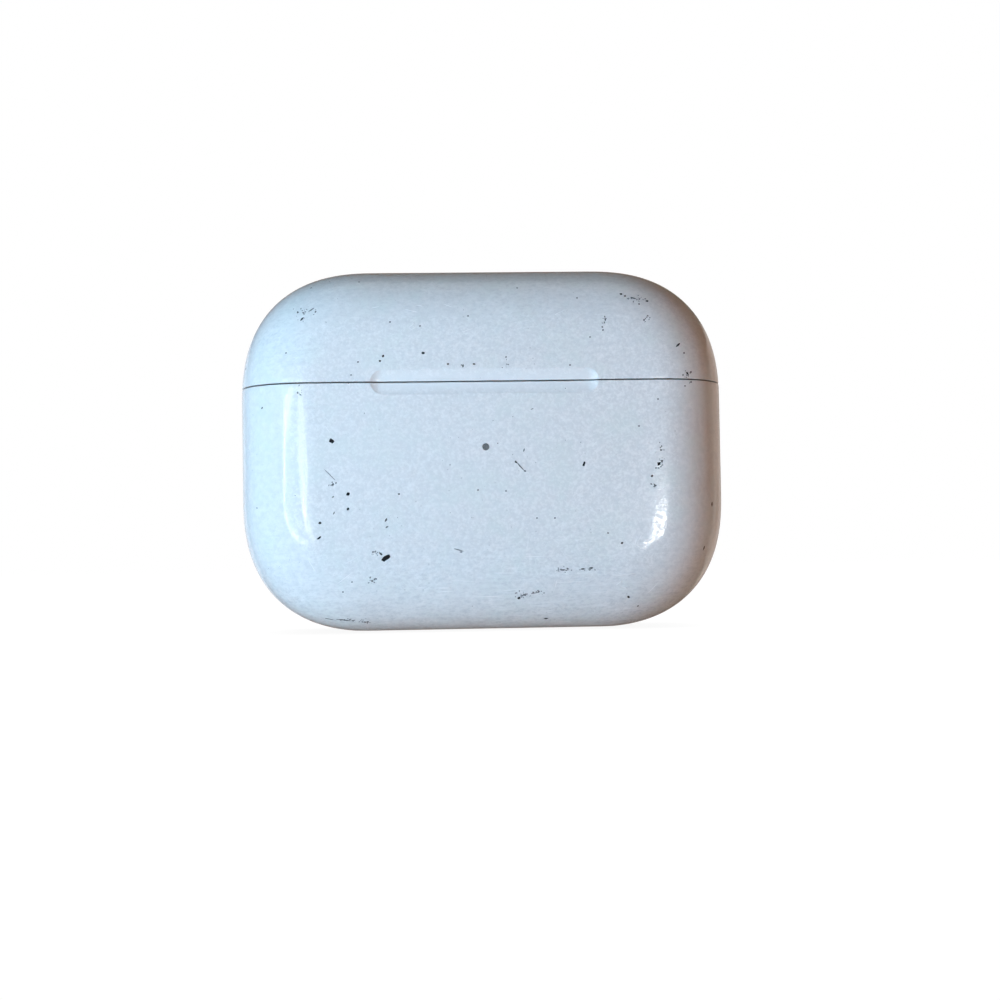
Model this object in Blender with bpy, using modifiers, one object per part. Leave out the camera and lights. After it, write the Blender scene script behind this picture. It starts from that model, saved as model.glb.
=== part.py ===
"""Wireless earbuds charging case, closed and standing on its foot.

Metres, +Z up, front towards -Y. The origin is on the surface that the case stands on, under its middle.
"""

import math

import bmesh
import bpy
from mathutils import Matrix, Vector

MM = 0.001

# Outer form of the closed case
CASE_WIDTH = 60.6 * MM
CASE_DEPTH = 21.7 * MM
CASE_HEIGHT = 45.2 * MM
CORNER_REACH = 16.8 * MM  # run of a corner's curve along each side, seen from the front
CORNER_POWER = 2.43  # superellipse exponent of that curve; 2 is a circle
CORNER_STEPS = 9
EDGE_REACH = 9.85 * MM  # run of the curve from the front face round to the side
EDGE_POWER = 2.3
EDGE_STEPS = 8
FOOT_TRIM = 0.1 * MM  # shaved off the underside, which leaves a flat foot
WALL = 1.5 * MM
CLEARANCE = 0.3 * MM  # between a shell and what sits inside it
SLIP = 0.1 * MM  # between small pieces that touch on the real case
MERGE = 0.001 * MM

# Seam between base and lid
SEAM_HEIGHT = 30.5 * MM
SEAM_GAP = 0.3 * MM
BASE_RIM = SEAM_HEIGHT - SEAM_GAP / 2
LID_RIM = SEAM_HEIGHT + SEAM_GAP / 2
LID_REAR_CHAMFER = 0.25 * MM

# Finger scoop across the seam: a round-ended cut from a large rod that lies in front of the case
SCOOP_LENGTH = 28.0 * MM
SCOOP_HEIGHT = 3.0 * MM
SCOOP_DEPTH = 0.35 * MM
SCOOP_RADIUS = ((SCOOP_HEIGHT / 2) ** 2 + SCOOP_DEPTH**2) / (2 * SCOOP_DEPTH)

# Status light
LIGHT_HEIGHT = 22.5 * MM
LIGHT_RADIUS = 0.42 * MM
LIGHT_FLANGE_RADIUS = 1.0 * MM
LIGHT_FLANGE_THICKNESS = 0.5 * MM
LED_SIZE = Vector((1.4, 0.5, 0.9)) * MM

# Hinge, a steel barrel in three lengths on one pin
HINGE_SETBACK = 1.2 * MM  # axis inside the back face
HINGE_RISE = 2.2 * MM  # axis above the seam
HINGE_AXIS_Y = CASE_DEPTH / 2 - HINGE_SETBACK
HINGE_AXIS_Z = SEAM_HEIGHT + HINGE_RISE
BARREL_RADIUS = 1.15 * MM
PIN_RADIUS = 0.5 * MM
PIN_BORE_RADIUS = 0.58 * MM
BLOCK_WIDTH = 19.0 * MM
EAR_WIDTH = 2.4 * MM
HINGE_WIDTH = BLOCK_WIDTH + 2 * (EAR_WIDTH + CLEARANCE)
BLOCK_FACE_SETBACK = 0.15 * MM  # the block's back face, behind the barrel's
LEAF_FOOT_Z = 26.9 * MM
LEAF_THICKNESS = 0.55 * MM
NOTCH_WIDTH = HINGE_WIDTH + 2 * CLEARANCE
NOTCH_FRONT = CASE_DEPTH / 2 - WALL - 1.4 * MM
NOTCH_FLOOR = BASE_RIM - 1.2 * MM
NOTCH_ROOF = HINGE_AXIS_Z + BARREL_RADIUS + 0.35 * MM
BRACKET_PLATE_SETBACK = 1.55 * MM  # lid bracket's plate, in front of the axis
BRACKET_PLATE_THICKNESS = 0.9 * MM
BRACKET_PLATE_TOP = 6.3 * MM  # above the axis
BRACKET_PLATE_FOOT = 2.2 * MM
BARREL_SIDES = 24

# Earbud wells in the tray: an oval bowl that runs down into a round stem hole
WELL_X = 14.3 * MM
STEM_X = 13.5 * MM
STEM_Y = -1.0 * MM
STEM_RADIUS = 3.6 * MM
WELL_WALL = 0.8 * MM
BOWL_HALF_WIDTH = 10.2 * MM
BOWL_HALF_DEPTH = 6.6 * MM
BOWL_POWER = 2.3
BOWL_RING = 32
BOWL_HEIGHT = 9.6 * MM
TRAY_TOP = BASE_RIM - 0.25 * MM
DECK_THICKNESS = 1.2 * MM
TUBE_FOOT = 6.0 * MM

# Pockets in the lid's liner, over the wells
LINER_FOOT = LID_RIM + 0.25 * MM
POCKET_HALF_DEPTH = 6.2 * MM
POCKET_HEIGHT = 10.2 * MM

# Charging contacts at the foot of each well
CARRIER_TOP = 6.8 * MM
CARRIER_FLANGE = 1.5 * MM
CONTACT_RADIUS = 0.45 * MM
CONTACT_SPACING = 2.6 * MM
CONTACT_TOP = CARRIER_TOP + 0.4 * MM
CONTACT_FOOT = 3.6 * MM

# Charging socket under the case
SOCKET_WIDTH = 8.4 * MM
SOCKET_HEIGHT = 2.6 * MM
SOCKET_WALL = 0.3 * MM
SOCKET_DEPTH = 6.6 * MM
SOCKET_FOOT = 0.3 * MM
TRIM_WALL = 0.45 * MM
TRIM_DEPTH = 1.4 * MM
TONGUE_WIDTH = 6.7 * MM
TONGUE_THICKNESS = 0.7 * MM
TONGUE_LENGTH = 4.4 * MM
TONGUE_ROOT = 1.2 * MM

# Pairing button in the back face
BUTTON_HEIGHT = 17.5 * MM
BUTTON_RADIUS = 3.7 * MM
BUTTON_FLANGE_RADIUS = 4.6 * MM
BUTTON_FLANGE_THICKNESS = 0.7 * MM
BUTTON_STEM_RADIUS = 1.2 * MM
BUTTON_STEM_LENGTH = 1.4 * MM
BUTTON_TRAVEL = 0.4 * MM
BUTTON_DISH = 0.12 * MM
SWITCH_RADIUS = 1.5 * MM
SWITCH_PLUNGER = 0.3 * MM

# Electronics
BOARD_SIZE = Vector((35.0, 0.8, 15.6)) * MM
BOARD_CENTRE = Vector((0.0, 5.0, 12.4)) * MM
CELL_SIZE = Vector((6.8, 10.0, 12.5)) * MM
CELL_CENTRE = Vector((22.4, 0.0, 13.75)) * MM
COIL_OUTER_RADIUS = 9.0 * MM
COIL_INNER_RADIUS = 5.2 * MM
COIL_THICKNESS = 0.5 * MM
SHIELD_THICKNESS = 0.4 * MM
CLOSURE_MAGNET_SIZE = Vector((5.0, 1.8, 3.4)) * MM
CLOSURE_MAGNET_X = 4.3 * MM
CLOSURE_MAGNET_Y = -7.6 * MM
SENSOR_MAGNET_RADIUS = 1.0 * MM
SENSOR_MAGNET_LENGTH = 2.0 * MM
BUD_MAGNET_RADIUS = 2.2 * MM
BUD_MAGNET_THICKNESS = 1.6 * MM
BUD_MAGNET_CENTRE = Vector((22.4, 0.0, 21.4)) * MM
FLEX_WIDTH = 2.4 * MM
FLEX_THICKNESS = 0.2 * MM
FLEX_FOOT = 14.0 * MM
FLEX_BRIDGE = 20.6 * MM  # height of its level run
FLEX_BEND = 1.2 * MM
FLEX_TOP = 27.6 * MM
SENSOR_SIZE = Vector((1.6, 0.6, 1.2)) * MM

BACK_INSIDE = CASE_DEPTH / 2 - WALL
SIDES = {"left": -1, "right": 1}


def clear_scene():
    for old in list(bpy.data.objects):
        bpy.data.objects.remove(old, do_unlink=True)


def make_collection(name):
    made = bpy.data.collections.new(name)
    bpy.context.scene.collection.children.link(made)
    return made


def finish(name, colour, roughness, metallic=0.0):
    made = bpy.data.materials.new(name)
    made.use_nodes = True
    shader = made.node_tree.nodes["Principled BSDF"]
    shader.inputs["Base Color"].default_value = (*colour, 1.0)
    shader.inputs["Roughness"].default_value = roughness
    shader.inputs["Metallic"].default_value = metallic
    return made


clear_scene()
CASE = make_collection("earbuds_case")
CUTTERS = make_collection("cutters")

GLOSS_WHITE = finish("gloss_white", (0.80, 0.83, 0.87), 0.22)
SATIN_WHITE = finish("satin_white", (0.82, 0.84, 0.86), 0.35)
LIGHT_GREY = finish("light_grey", (0.16, 0.19, 0.21), 0.2)
STEEL = finish("polished_steel", (0.62, 0.63, 0.65), 0.18, 1.0)
GOLD = finish("contact_gold", (0.83, 0.62, 0.28), 0.25, 1.0)
COPPER = finish("coil_copper", (0.72, 0.36, 0.2), 0.35, 1.0)
BLACK = finish("black_plastic", (0.02, 0.02, 0.022), 0.45)
BOARD_GREEN = finish("board_green", (0.02, 0.12, 0.06), 0.5)
FLEX_AMBER = finish("flex_amber", (0.42, 0.2, 0.04), 0.4)
CELL_SILVER = finish("cell_silver", (0.55, 0.56, 0.58), 0.4, 0.6)
MAGNET_NICKEL = finish("magnet_nickel", (0.5, 0.5, 0.5), 0.25, 1.0)
FERRITE = finish("ferrite", (0.05, 0.05, 0.055), 0.7)


def make_object(name, shape, collection, at=(0, 0, 0), turn=(0, 0, 0)):
    mesh = bpy.data.meshes.new(name)
    bmesh.ops.recalc_face_normals(shape, faces=shape.faces)
    shape.to_mesh(mesh)
    shape.free()
    mesh.shade_smooth()
    mesh.set_sharp_from_angle(angle=math.radians(32))
    made = bpy.data.objects.new(name, mesh)
    made.location = at
    made.rotation_euler = turn
    collection.objects.link(made)
    return made


def piece(name, shape, material, at=(0, 0, 0), turn=(0, 0, 0)):
    made = make_object(name, shape, CASE, at, turn)
    made.data.materials.append(material)
    return made


def helper(name, shape, at=(0, 0, 0), turn=(0, 0, 0)):
    """A solid that only cuts, joins or limits a piece."""
    made = make_object(name, shape, CUTTERS, at, turn)
    made.hide_render = True
    made.display_type = "WIRE"
    return made


def boolean(target, operation, *tools):
    for tool in tools:
        modifier = target.modifiers.new(tool.name, "BOOLEAN")
        modifier.operation = operation
        modifier.object = tool


# Solids, each centred on its own origin unless it says otherwise


def block(size, bevel=0.0, steps=2):
    made = bmesh.new()
    bmesh.ops.create_cube(made, size=1.0)
    bmesh.ops.scale(made, vec=size, verts=made.verts)
    if bevel:
        bmesh.ops.bevel(
            made, geom=made.edges[:], offset=bevel, offset_type="OFFSET",
            segments=steps, profile=0.5, affect="EDGES", clamp_overlap=False,
        )
    return made


def rod(radius, length, sides=24):
    made = bmesh.new()
    bmesh.ops.create_cone(
        made, cap_ends=True, segments=sides, radius1=radius, radius2=radius, depth=length
    )
    return made


def drawn_out(outline, run):
    """A flat outline extruded by the vector run."""
    made = bmesh.new()
    face = made.faces.new([made.verts.new(point) for point in outline])
    grown = bmesh.ops.extrude_face_region(made, geom=[face])["geom"]
    far_end = [part for part in grown if isinstance(part, bmesh.types.BMVert)]
    bmesh.ops.translate(made, vec=run, verts=far_end)
    return made


def prism(profile, width):
    """A (y, z) outline drawn out along X, centred on x = 0."""
    return drawn_out([(-width / 2, y, z) for y, z in profile], (width, 0, 0))


def loft(rings):
    """A skin through unlike rings of equally many points, capped at both ends."""
    made = bmesh.new()
    loops = [[made.verts.new(point) for point in ring] for ring in rings]
    made.faces.new(loops[0])
    made.faces.new(loops[-1])
    for low, high in zip(loops, loops[1:]):
        for i in range(len(low)):
            k = (i + 1) % len(low)
            made.faces.new((low[i], low[k], high[k], high[i]))
    return made


def turned_piece(name, profile, material, at, turn=(0, 0, 0), steps=24, ring=False):
    """A piece turned about its own Z axis from (radius, height) pairs, which run down its outer side."""
    shape = bmesh.new()
    points = [shape.verts.new((radius, 0, height)) for radius, height in profile]
    for upper, lower in zip(points, points[1:]):
        shape.edges.new((upper, lower))
    if ring:
        shape.edges.new((points[-1], points[0]))
    made = piece(name, shape, material, at, turn)
    screw = made.modifiers.new("turn", "SCREW")
    screw.steps = screw.render_steps = steps
    screw.use_merge_vertices = True
    screw.merge_threshold = MERGE
    screw.use_smooth_shade = True
    return made


def oval(centre, half_x, half_y, height, power=BOWL_POWER, count=BOWL_RING):
    """A superellipse ring, level at that height."""
    ring = []
    for i in range(count):
        a = 2 * math.pi * i / count
        c, s = math.cos(a), math.sin(a)
        x = math.copysign(abs(c) ** (2 / power), c) * half_x
        y = math.copysign(abs(s) ** (2 / power), s) * half_y
        ring.append(Vector((centre[0] + x, centre[1] + y, height)))
    return ring


def pill(width, height, low, high, arc_steps=8):
    """A round-ended bar of that width and height, upright from low to high."""
    radius = height / 2
    run = width / 2 - radius
    outline = []
    for centre, start in ((run, -math.pi / 2), (-run, math.pi / 2)):
        for i in range(arc_steps + 1):
            a = start + math.pi * i / arc_steps
            outline.append((centre + radius * math.cos(a), radius * math.sin(a), low))
    return drawn_out(outline, (0, 0, high - low))


def bevel_profile(power):
    """Blender's bevel profile value for a superellipse of that exponent."""
    return 2 ** (-2 / power)


def soft_box(inset):
    """The case's outer form, taken in by inset on every side."""
    size = Vector((CASE_WIDTH, CASE_DEPTH, CASE_HEIGHT + FOOT_TRIM)) - Vector((2 * inset,) * 3)
    made = block(size)
    corners = [e for e in made.edges if abs(e.verts[0].co.y - e.verts[1].co.y) > inset]
    bmesh.ops.bevel(
        made, geom=corners, offset=CORNER_REACH - inset, offset_type="OFFSET", segments=CORNER_STEPS,
        profile=bevel_profile(CORNER_POWER), affect="EDGES", clamp_overlap=False,
    )
    rims = [e for e in made.edges if abs(e.verts[0].co.y - e.verts[1].co.y) < SLIP]
    bmesh.ops.bevel(
        made, geom=rims, offset=EDGE_REACH - inset, offset_type="OFFSET", segments=EDGE_STEPS,
        profile=bevel_profile(EDGE_POWER), affect="EDGES", clamp_overlap=False,
    )
    return made


SOFT_BOX_CENTRE = Vector((0, 0, (CASE_HEIGHT - FOOT_TRIM) / 2))
SLAB = Vector((1.5 * CASE_WIDTH, 2 * CASE_DEPTH, CASE_HEIGHT))


def slab_above(name, height):
    return helper(name, block(SLAB), at=(0, 0, height + SLAB.z / 2))


def slab_below(name, height):
    return helper(name, block(SLAB), at=(0, 0, height - SLAB.z / 2))


def layer(name, low, high):
    return helper(name, block((SLAB.x, SLAB.y, high - low)), at=(0, 0, (low + high) / 2))


# Cutters that the two shells share


def scoop_cutter():
    """A long rod with ball ends, of which only a shallow strip reaches into the front face."""
    made = bmesh.new()
    bmesh.ops.create_uvsphere(made, u_segments=64, v_segments=41, radius=SCOOP_RADIUS)
    bmesh.ops.rotate(made, cent=(0, 0, 0), matrix=Matrix.Rotation(math.pi / 2, 3, "Y"), verts=made.verts)
    stretch = SCOOP_LENGTH / 2 - SCOOP_HEIGHT / 2
    for vertex in made.verts:
        vertex.co.x += math.copysign(stretch, vertex.co.x)
    front = -CASE_DEPTH / 2 + SCOOP_DEPTH - SCOOP_RADIUS
    return helper("scoop_cutter", made, at=(0, front, SEAM_HEIGHT))


def hinge_notch(name, low, high, front):
    size = (NOTCH_WIDTH, CASE_DEPTH - front, high - low)
    return helper(name, block(size), at=(0, front + size[1] / 2, (low + high) / 2))


SCOOP = scoop_cutter()
CAVITY = helper("cavity_cutter", soft_box(WALL), at=SOFT_BOX_CENTRE)
BACKWARD = (-math.pi / 2, 0, 0)  # turns a solid's own +Z to face the back


def build_base_shell():
    shell = piece("base_shell", soft_box(0), GLOSS_WHITE, at=SOFT_BOX_CENTRE)
    light_hole = helper(
        "light_hole", rod(LIGHT_RADIUS + SLIP / 2, 4 * WALL, 16),
        at=(0, -CASE_DEPTH / 2, LIGHT_HEIGHT), turn=BACKWARD,
    )
    button_hole = helper(
        "button_hole", rod(BUTTON_RADIUS + CLEARANCE, 4 * WALL, 40),
        at=(0, CASE_DEPTH / 2, BUTTON_HEIGHT), turn=BACKWARD,
    )
    trim_width = SOCKET_WIDTH + 2 * (SOCKET_WALL + TRIM_WALL + 2 * CLEARANCE)
    trim_height = SOCKET_HEIGHT + 2 * (SOCKET_WALL + TRIM_WALL + 2 * CLEARANCE)
    socket_hole = helper("socket_hole", pill(trim_width, trim_height, -WALL, 3 * WALL))
    notch = hinge_notch("base_hinge_notch", NOTCH_FLOOR, CASE_HEIGHT, NOTCH_FRONT)
    boolean(
        shell, "DIFFERENCE", CAVITY, slab_above("above_base", BASE_RIM), slab_below("under_foot", 0),
        SCOOP, light_hole, button_hole, socket_hole, notch,
    )
    return shell


def build_lid_shell():
    shell = piece("lid_shell", soft_box(0), GLOSS_WHITE, at=SOFT_BOX_CENTRE)
    back, rim, cut = CASE_DEPTH / 2, LID_RIM, LID_REAR_CHAMFER
    wedge = [(back - 2 * cut, rim - cut), (back + cut, rim - cut), (back + cut, rim + 2 * cut)]
    rear_chamfer = helper("lid_rear_chamfer", prism(wedge, 2 * CASE_WIDTH))
    notch = hinge_notch("lid_hinge_notch", SEAM_HEIGHT - WALL, NOTCH_ROOF, NOTCH_FRONT)
    boolean(shell, "DIFFERENCE", CAVITY, slab_below("under_lid", LID_RIM), SCOOP, notch, rear_chamfer)
    return shell


def well_rings(grow, foot):
    """Level rings of a well on the right, from its stem's foot up to the bowl's mouth, grown by grow."""
    stem = (STEM_X, STEM_Y)
    rings = []
    for height in (foot, TRAY_TOP - BOWL_HEIGHT - 1.2 * MM):
        rings.append(oval(stem, STEM_RADIUS + grow, STEM_RADIUS + grow, height, power=2))
    flare = 5
    for i in range(flare + 1):
        share = i / flare
        open_share = math.sin(share * math.pi / 2)
        half_x = STEM_RADIUS + (BOWL_HALF_WIDTH - STEM_RADIUS) * open_share
        half_y = STEM_RADIUS + (BOWL_HALF_DEPTH - STEM_RADIUS) * open_share
        centre = Vector(stem).lerp(Vector((WELL_X, 0)), open_share)
        height = TRAY_TOP - BOWL_HEIGHT * (1 - share)
        power = 2 + (BOWL_POWER - 2) * share
        rings.append(oval(centre, half_x + grow, half_y + grow, height, power))
    return rings


def mirrored(rings, side):
    return [[Vector((point.x * side, point.y, point.z)) for point in ring] for ring in rings]


def lifted(ring, height):
    return [Vector((point.x, point.y, height)) for point in ring]


def build_inner_tray():
    tray = piece("inner_tray", soft_box(WALL + CLEARANCE), SATIN_WHITE, at=SOFT_BOX_CENTRE)
    boolean(tray, "INTERSECT", layer("tray_layer", TRAY_TOP - DECK_THICKNESS, TRAY_TOP))
    for label, side in SIDES.items():
        cup = well_rings(WELL_WALL, TUBE_FOOT)
        cup[-1] = lifted(cup[-1], TRAY_TOP - DECK_THICKNESS / 2)
        boolean(tray, "UNION", helper("cup_" + label, loft(mirrored(cup, side))))
    for label, side in SIDES.items():
        well = well_rings(0, TUBE_FOOT - WALL)
        well[-1] = lifted(well[-1], TRAY_TOP - DECK_THICKNESS / 4)
        well.append(lifted(well[-1], CASE_HEIGHT))
        boolean(tray, "DIFFERENCE", helper("well_" + label, loft(mirrored(well, side))))
    boolean(tray, "DIFFERENCE", hinge_notch("tray_hinge_notch", LEAF_FOOT_Z, CASE_HEIGHT, NOTCH_FRONT))
    return tray


def pocket_rings(grow):
    """Level rings of a liner pocket on the right, from its mouth up to a closed dome."""
    rings = []
    rise = 6
    for i in range(rise + 1):
        turn = i / rise * math.radians(82)
        shrink = math.cos(turn) ** 0.75
        height = LINER_FOOT + POCKET_HEIGHT * math.sin(turn)
        half_x, half_y = BOWL_HALF_WIDTH * shrink + grow, POCKET_HALF_DEPTH * shrink + grow
        rings.append(oval((WELL_X, 0), half_x, half_y, height + grow))
    return rings


def build_lid_liner():
    liner = piece("lid_liner", soft_box(WALL + CLEARANCE), SATIN_WHITE, at=SOFT_BOX_CENTRE)
    boolean(liner, "INTERSECT", layer("liner_layer", LINER_FOOT, LINER_FOOT + DECK_THICKNESS))
    for label, side in SIDES.items():
        dome = pocket_rings(WELL_WALL)
        dome[0] = lifted(dome[0], LINER_FOOT + DECK_THICKNESS / 2)
        boolean(liner, "UNION", helper("dome_" + label, loft(mirrored(dome, side))))
    for label, side in SIDES.items():
        pocket = pocket_rings(0)
        pocket[0] = lifted(pocket[0], LINER_FOOT + DECK_THICKNESS / 4)
        pocket.insert(0, lifted(pocket[0], LINER_FOOT - WALL))
        boolean(liner, "DIFFERENCE", helper("pocket_" + label, loft(mirrored(pocket, side))))
    front = HINGE_AXIS_Y - BRACKET_PLATE_SETBACK - BRACKET_PLATE_THICKNESS - CLEARANCE
    boolean(liner, "DIFFERENCE", hinge_notch("liner_hinge_notch", LINER_FOOT - WALL, CASE_HEIGHT, front))
    return liner


def barrel_arc(start, end, radius=BARREL_RADIUS):
    """Points of the hinge barrel's section, as (y, z), between two angles measured from the back."""
    steps = round(abs(end - start) / (2 * math.pi) * BARREL_SIDES)
    angles = (start + (end - start) * i / steps for i in range(steps + 1))
    return [(HINGE_AXIS_Y + radius * math.cos(a), HINGE_AXIS_Z + radius * math.sin(a)) for a in angles]


def pin_bore(name):
    return helper(
        name, rod(PIN_BORE_RADIUS, 2 * HINGE_WIDTH, 16),
        at=(0, HINGE_AXIS_Y, HINGE_AXIS_Z), turn=(0, math.pi / 2, 0),
    )


def build_hinge():
    bore = pin_bore("pin_bore")
    face = CASE_DEPTH / 2 - BLOCK_FACE_SETBACK
    leaf_back = BACK_INSIDE - CLEARANCE
    start = -math.acos((face - HINGE_AXIS_Y) / BARREL_RADIUS)
    section = barrel_arc(start, math.pi)
    section += [
        (leaf_back - LEAF_THICKNESS, LEAF_FOOT_Z), (leaf_back, LEAF_FOOT_Z),
        (leaf_back, NOTCH_FLOOR + CLEARANCE), (face, NOTCH_FLOOR + CLEARANCE),
    ]
    base_block = piece("hinge_block", prism(section, BLOCK_WIDTH), STEEL)
    ear_clear = HINGE_AXIS_Z - BARREL_RADIUS - CLEARANCE
    shelf = [
        (leaf_back - LEAF_THICKNESS / 2, NOTCH_FLOOR + CLEARANCE), (face, NOTCH_FLOOR + CLEARANCE),
        (face, ear_clear), (leaf_back - LEAF_THICKNESS / 2, ear_clear),
    ]
    boolean(base_block, "UNION", helper("block_shelf", prism(shelf, HINGE_WIDTH)))
    boolean(base_block, "DIFFERENCE", bore)

    piece(
        "hinge_pin", rod(PIN_RADIUS, HINGE_WIDTH - SLIP, 16), STEEL,
        at=(0, HINGE_AXIS_Y, HINGE_AXIS_Z), turn=(0, math.pi / 2, 0),
    )

    plate_back = HINGE_AXIS_Y - BRACKET_PLATE_SETBACK
    plate_front = plate_back - BRACKET_PLATE_THICKNESS
    foot, top = HINGE_AXIS_Z + BRACKET_PLATE_FOOT, HINGE_AXIS_Z + BRACKET_PLATE_TOP
    arm = barrel_arc(math.radians(-170), math.radians(100))
    arm += [(plate_back, foot), (plate_back, top), (plate_front, top), (plate_front, foot - 0.5 * MM)]
    bracket = piece("lid_hinge_bracket", prism(arm, HINGE_WIDTH), STEEL)
    gap_profile = [
        (plate_back + SLIP / 2, NOTCH_FLOOR), (CASE_DEPTH, NOTCH_FLOOR),
        (CASE_DEPTH, top + WALL), (plate_back + SLIP / 2, top + WALL),
    ]
    low_front = plate_front - WALL
    low_profile = [(low_front, NOTCH_FLOOR), (CASE_DEPTH, NOTCH_FLOOR), (CASE_DEPTH, foot), (low_front, foot)]
    gap_width = BLOCK_WIDTH + 2 * CLEARANCE
    gap = helper("ear_gap", prism(gap_profile, gap_width))
    gap_low = helper("ear_gap_low", prism(low_profile, gap_width))
    boolean(bracket, "DIFFERENCE", gap, gap_low, bore)
    return bracket


def build_status_light():
    face = -CASE_DEPTH / 2 + SLIP / 2
    reach = WALL + CLEARANCE
    back = reach + LIGHT_FLANGE_THICKNESS
    profile = [
        (0, back), (LIGHT_FLANGE_RADIUS, back), (LIGHT_FLANGE_RADIUS, reach),
        (LIGHT_RADIUS, reach), (LIGHT_RADIUS, 0), (0, 0),
    ]
    turned_piece("light_lens", profile, LIGHT_GREY, (0, face, LIGHT_HEIGHT), BACKWARD, steps=16)
    led_y = face + back + SLIP + LED_SIZE.y / 2
    piece("status_led", block(LED_SIZE), SATIN_WHITE, at=(0, led_y, LIGHT_HEIGHT))
    return led_y + LED_SIZE.y / 2 + SLIP


def quarter_turn(centre, radius, start, sweep, steps=4):
    """Points (y, z) of a quarter circle that starts at an angle measured from the back."""
    angles = (start + sweep * i / steps for i in range(steps + 1))
    return [(centre[0] + radius * math.cos(a), centre[1] + radius * math.sin(a)) for a in angles]


def build_flex(front):
    """A ribbon from the board, over the middle of the case and up behind the light to the lid sensor."""
    front += FLEX_THICKNESS / 2
    back = BOARD_CENTRE.y - BOARD_SIZE.y / 2 - SLIP - FLEX_THICKNESS / 2
    line = [(back, FLEX_FOOT)]
    line += quarter_turn((back - FLEX_BEND, FLEX_BRIDGE - FLEX_BEND), FLEX_BEND, 0, math.pi / 2)
    line += quarter_turn((front + FLEX_BEND, FLEX_BRIDGE + FLEX_BEND), FLEX_BEND, -math.pi / 2, -math.pi / 2)
    line.append((front, FLEX_TOP))
    ribbon = bmesh.new()
    points = [ribbon.verts.new((-FLEX_WIDTH / 2, y, z)) for y, z in line]
    edges = [ribbon.edges.new(pair) for pair in zip(points, points[1:])]
    grown = bmesh.ops.extrude_edge_only(ribbon, edges=edges)["geom"]
    far_edge = [part for part in grown if isinstance(part, bmesh.types.BMVert)]
    bmesh.ops.translate(ribbon, vec=(FLEX_WIDTH, 0, 0), verts=far_edge)
    flex = piece("status_flex", ribbon, FLEX_AMBER)
    solidify = flex.modifiers.new("thickness", "SOLIDIFY")
    solidify.thickness = FLEX_THICKNESS
    solidify.offset = 0
    sensor_y = front + FLEX_THICKNESS / 2 + SLIP + SENSOR_SIZE.y / 2
    piece("lid_sensor", block(SENSOR_SIZE), BLACK, at=(0, sensor_y, FLEX_TOP - SENSOR_SIZE.z))


def build_electronics():
    piece("main_board", block(BOARD_SIZE), BOARD_GREEN, at=BOARD_CENTRE)
    back = BOARD_CENTRE.y + BOARD_SIZE.y / 2 + SLIP
    chips = {
        "controller_chip": (Vector((5.0, 0.8, 5.0)) * MM, Vector((11.0, 0, 10.0)) * MM),
        "power_chip": (Vector((4.0, 0.9, 3.2)) * MM, Vector((-11.0, 0, 9.0)) * MM),
    }
    for name, (size, centre) in chips.items():
        piece(name, block(size), BLACK, at=(centre.x, back + size.y / 2, centre.z))
    for label, side in SIDES.items():
        centre = (CELL_CENTRE.x * side, CELL_CENTRE.y, CELL_CENTRE.z)
        piece("battery_" + label, block(CELL_SIZE, bevel=1.2 * MM), CELL_SILVER, at=centre)
    coil_back = BACK_INSIDE - SLIP
    shield_back = coil_back - COIL_THICKNESS - SLIP
    rings = {
        "charging_coil": (COPPER, coil_back, COIL_THICKNESS),
        "coil_shield": (FERRITE, shield_back, SHIELD_THICKNESS),
    }
    for name, (material, y, thickness) in rings.items():
        section = [
            (COIL_OUTER_RADIUS, 0), (COIL_OUTER_RADIUS, -thickness),
            (COIL_INNER_RADIUS, -thickness), (COIL_INNER_RADIUS, 0),
        ]
        turned_piece(name, section, material, (0, y, BUTTON_HEIGHT), BACKWARD, steps=40, ring=True)


def build_pairing_button():
    """The button's axis runs through its own origin, which is on the case's back face."""
    flange_top = -(WALL + CLEARANCE)
    flange_foot = flange_top - BUTTON_FLANGE_THICKNESS
    stem_foot = flange_foot - BUTTON_STEM_LENGTH
    profile = [
        (0, -BUTTON_DISH), (0.5 * BUTTON_RADIUS, -0.8 * BUTTON_DISH),
        (0.85 * BUTTON_RADIUS, -0.4 * BUTTON_DISH),
        (BUTTON_RADIUS - SLIP, -SLIP / 2), (BUTTON_RADIUS, -1.5 * SLIP),
        (BUTTON_RADIUS, flange_top), (BUTTON_FLANGE_RADIUS, flange_top),
        (BUTTON_FLANGE_RADIUS, flange_foot), (BUTTON_STEM_RADIUS, flange_foot),
        (BUTTON_STEM_RADIUS, stem_foot), (0, stem_foot),
    ]
    back = CASE_DEPTH / 2
    turned_piece("pairing_button", profile, GLOSS_WHITE, (0, back, BUTTON_HEIGHT), BACKWARD, steps=40)
    switch_foot = BOARD_CENTRE.y + BOARD_SIZE.y / 2 + SLIP
    switch_top = back + stem_foot - BUTTON_TRAVEL - SLIP
    shoulder = switch_top - SWITCH_PLUNGER
    profile = [
        (0, switch_top), (BUTTON_STEM_RADIUS * 0.75, switch_top), (BUTTON_STEM_RADIUS * 0.75, shoulder),
        (SWITCH_RADIUS, shoulder), (SWITCH_RADIUS, switch_foot), (0, switch_foot),
    ]
    turned_piece("button_switch", profile, BLACK, (0, 0, BUTTON_HEIGHT), BACKWARD, steps=16)


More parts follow.
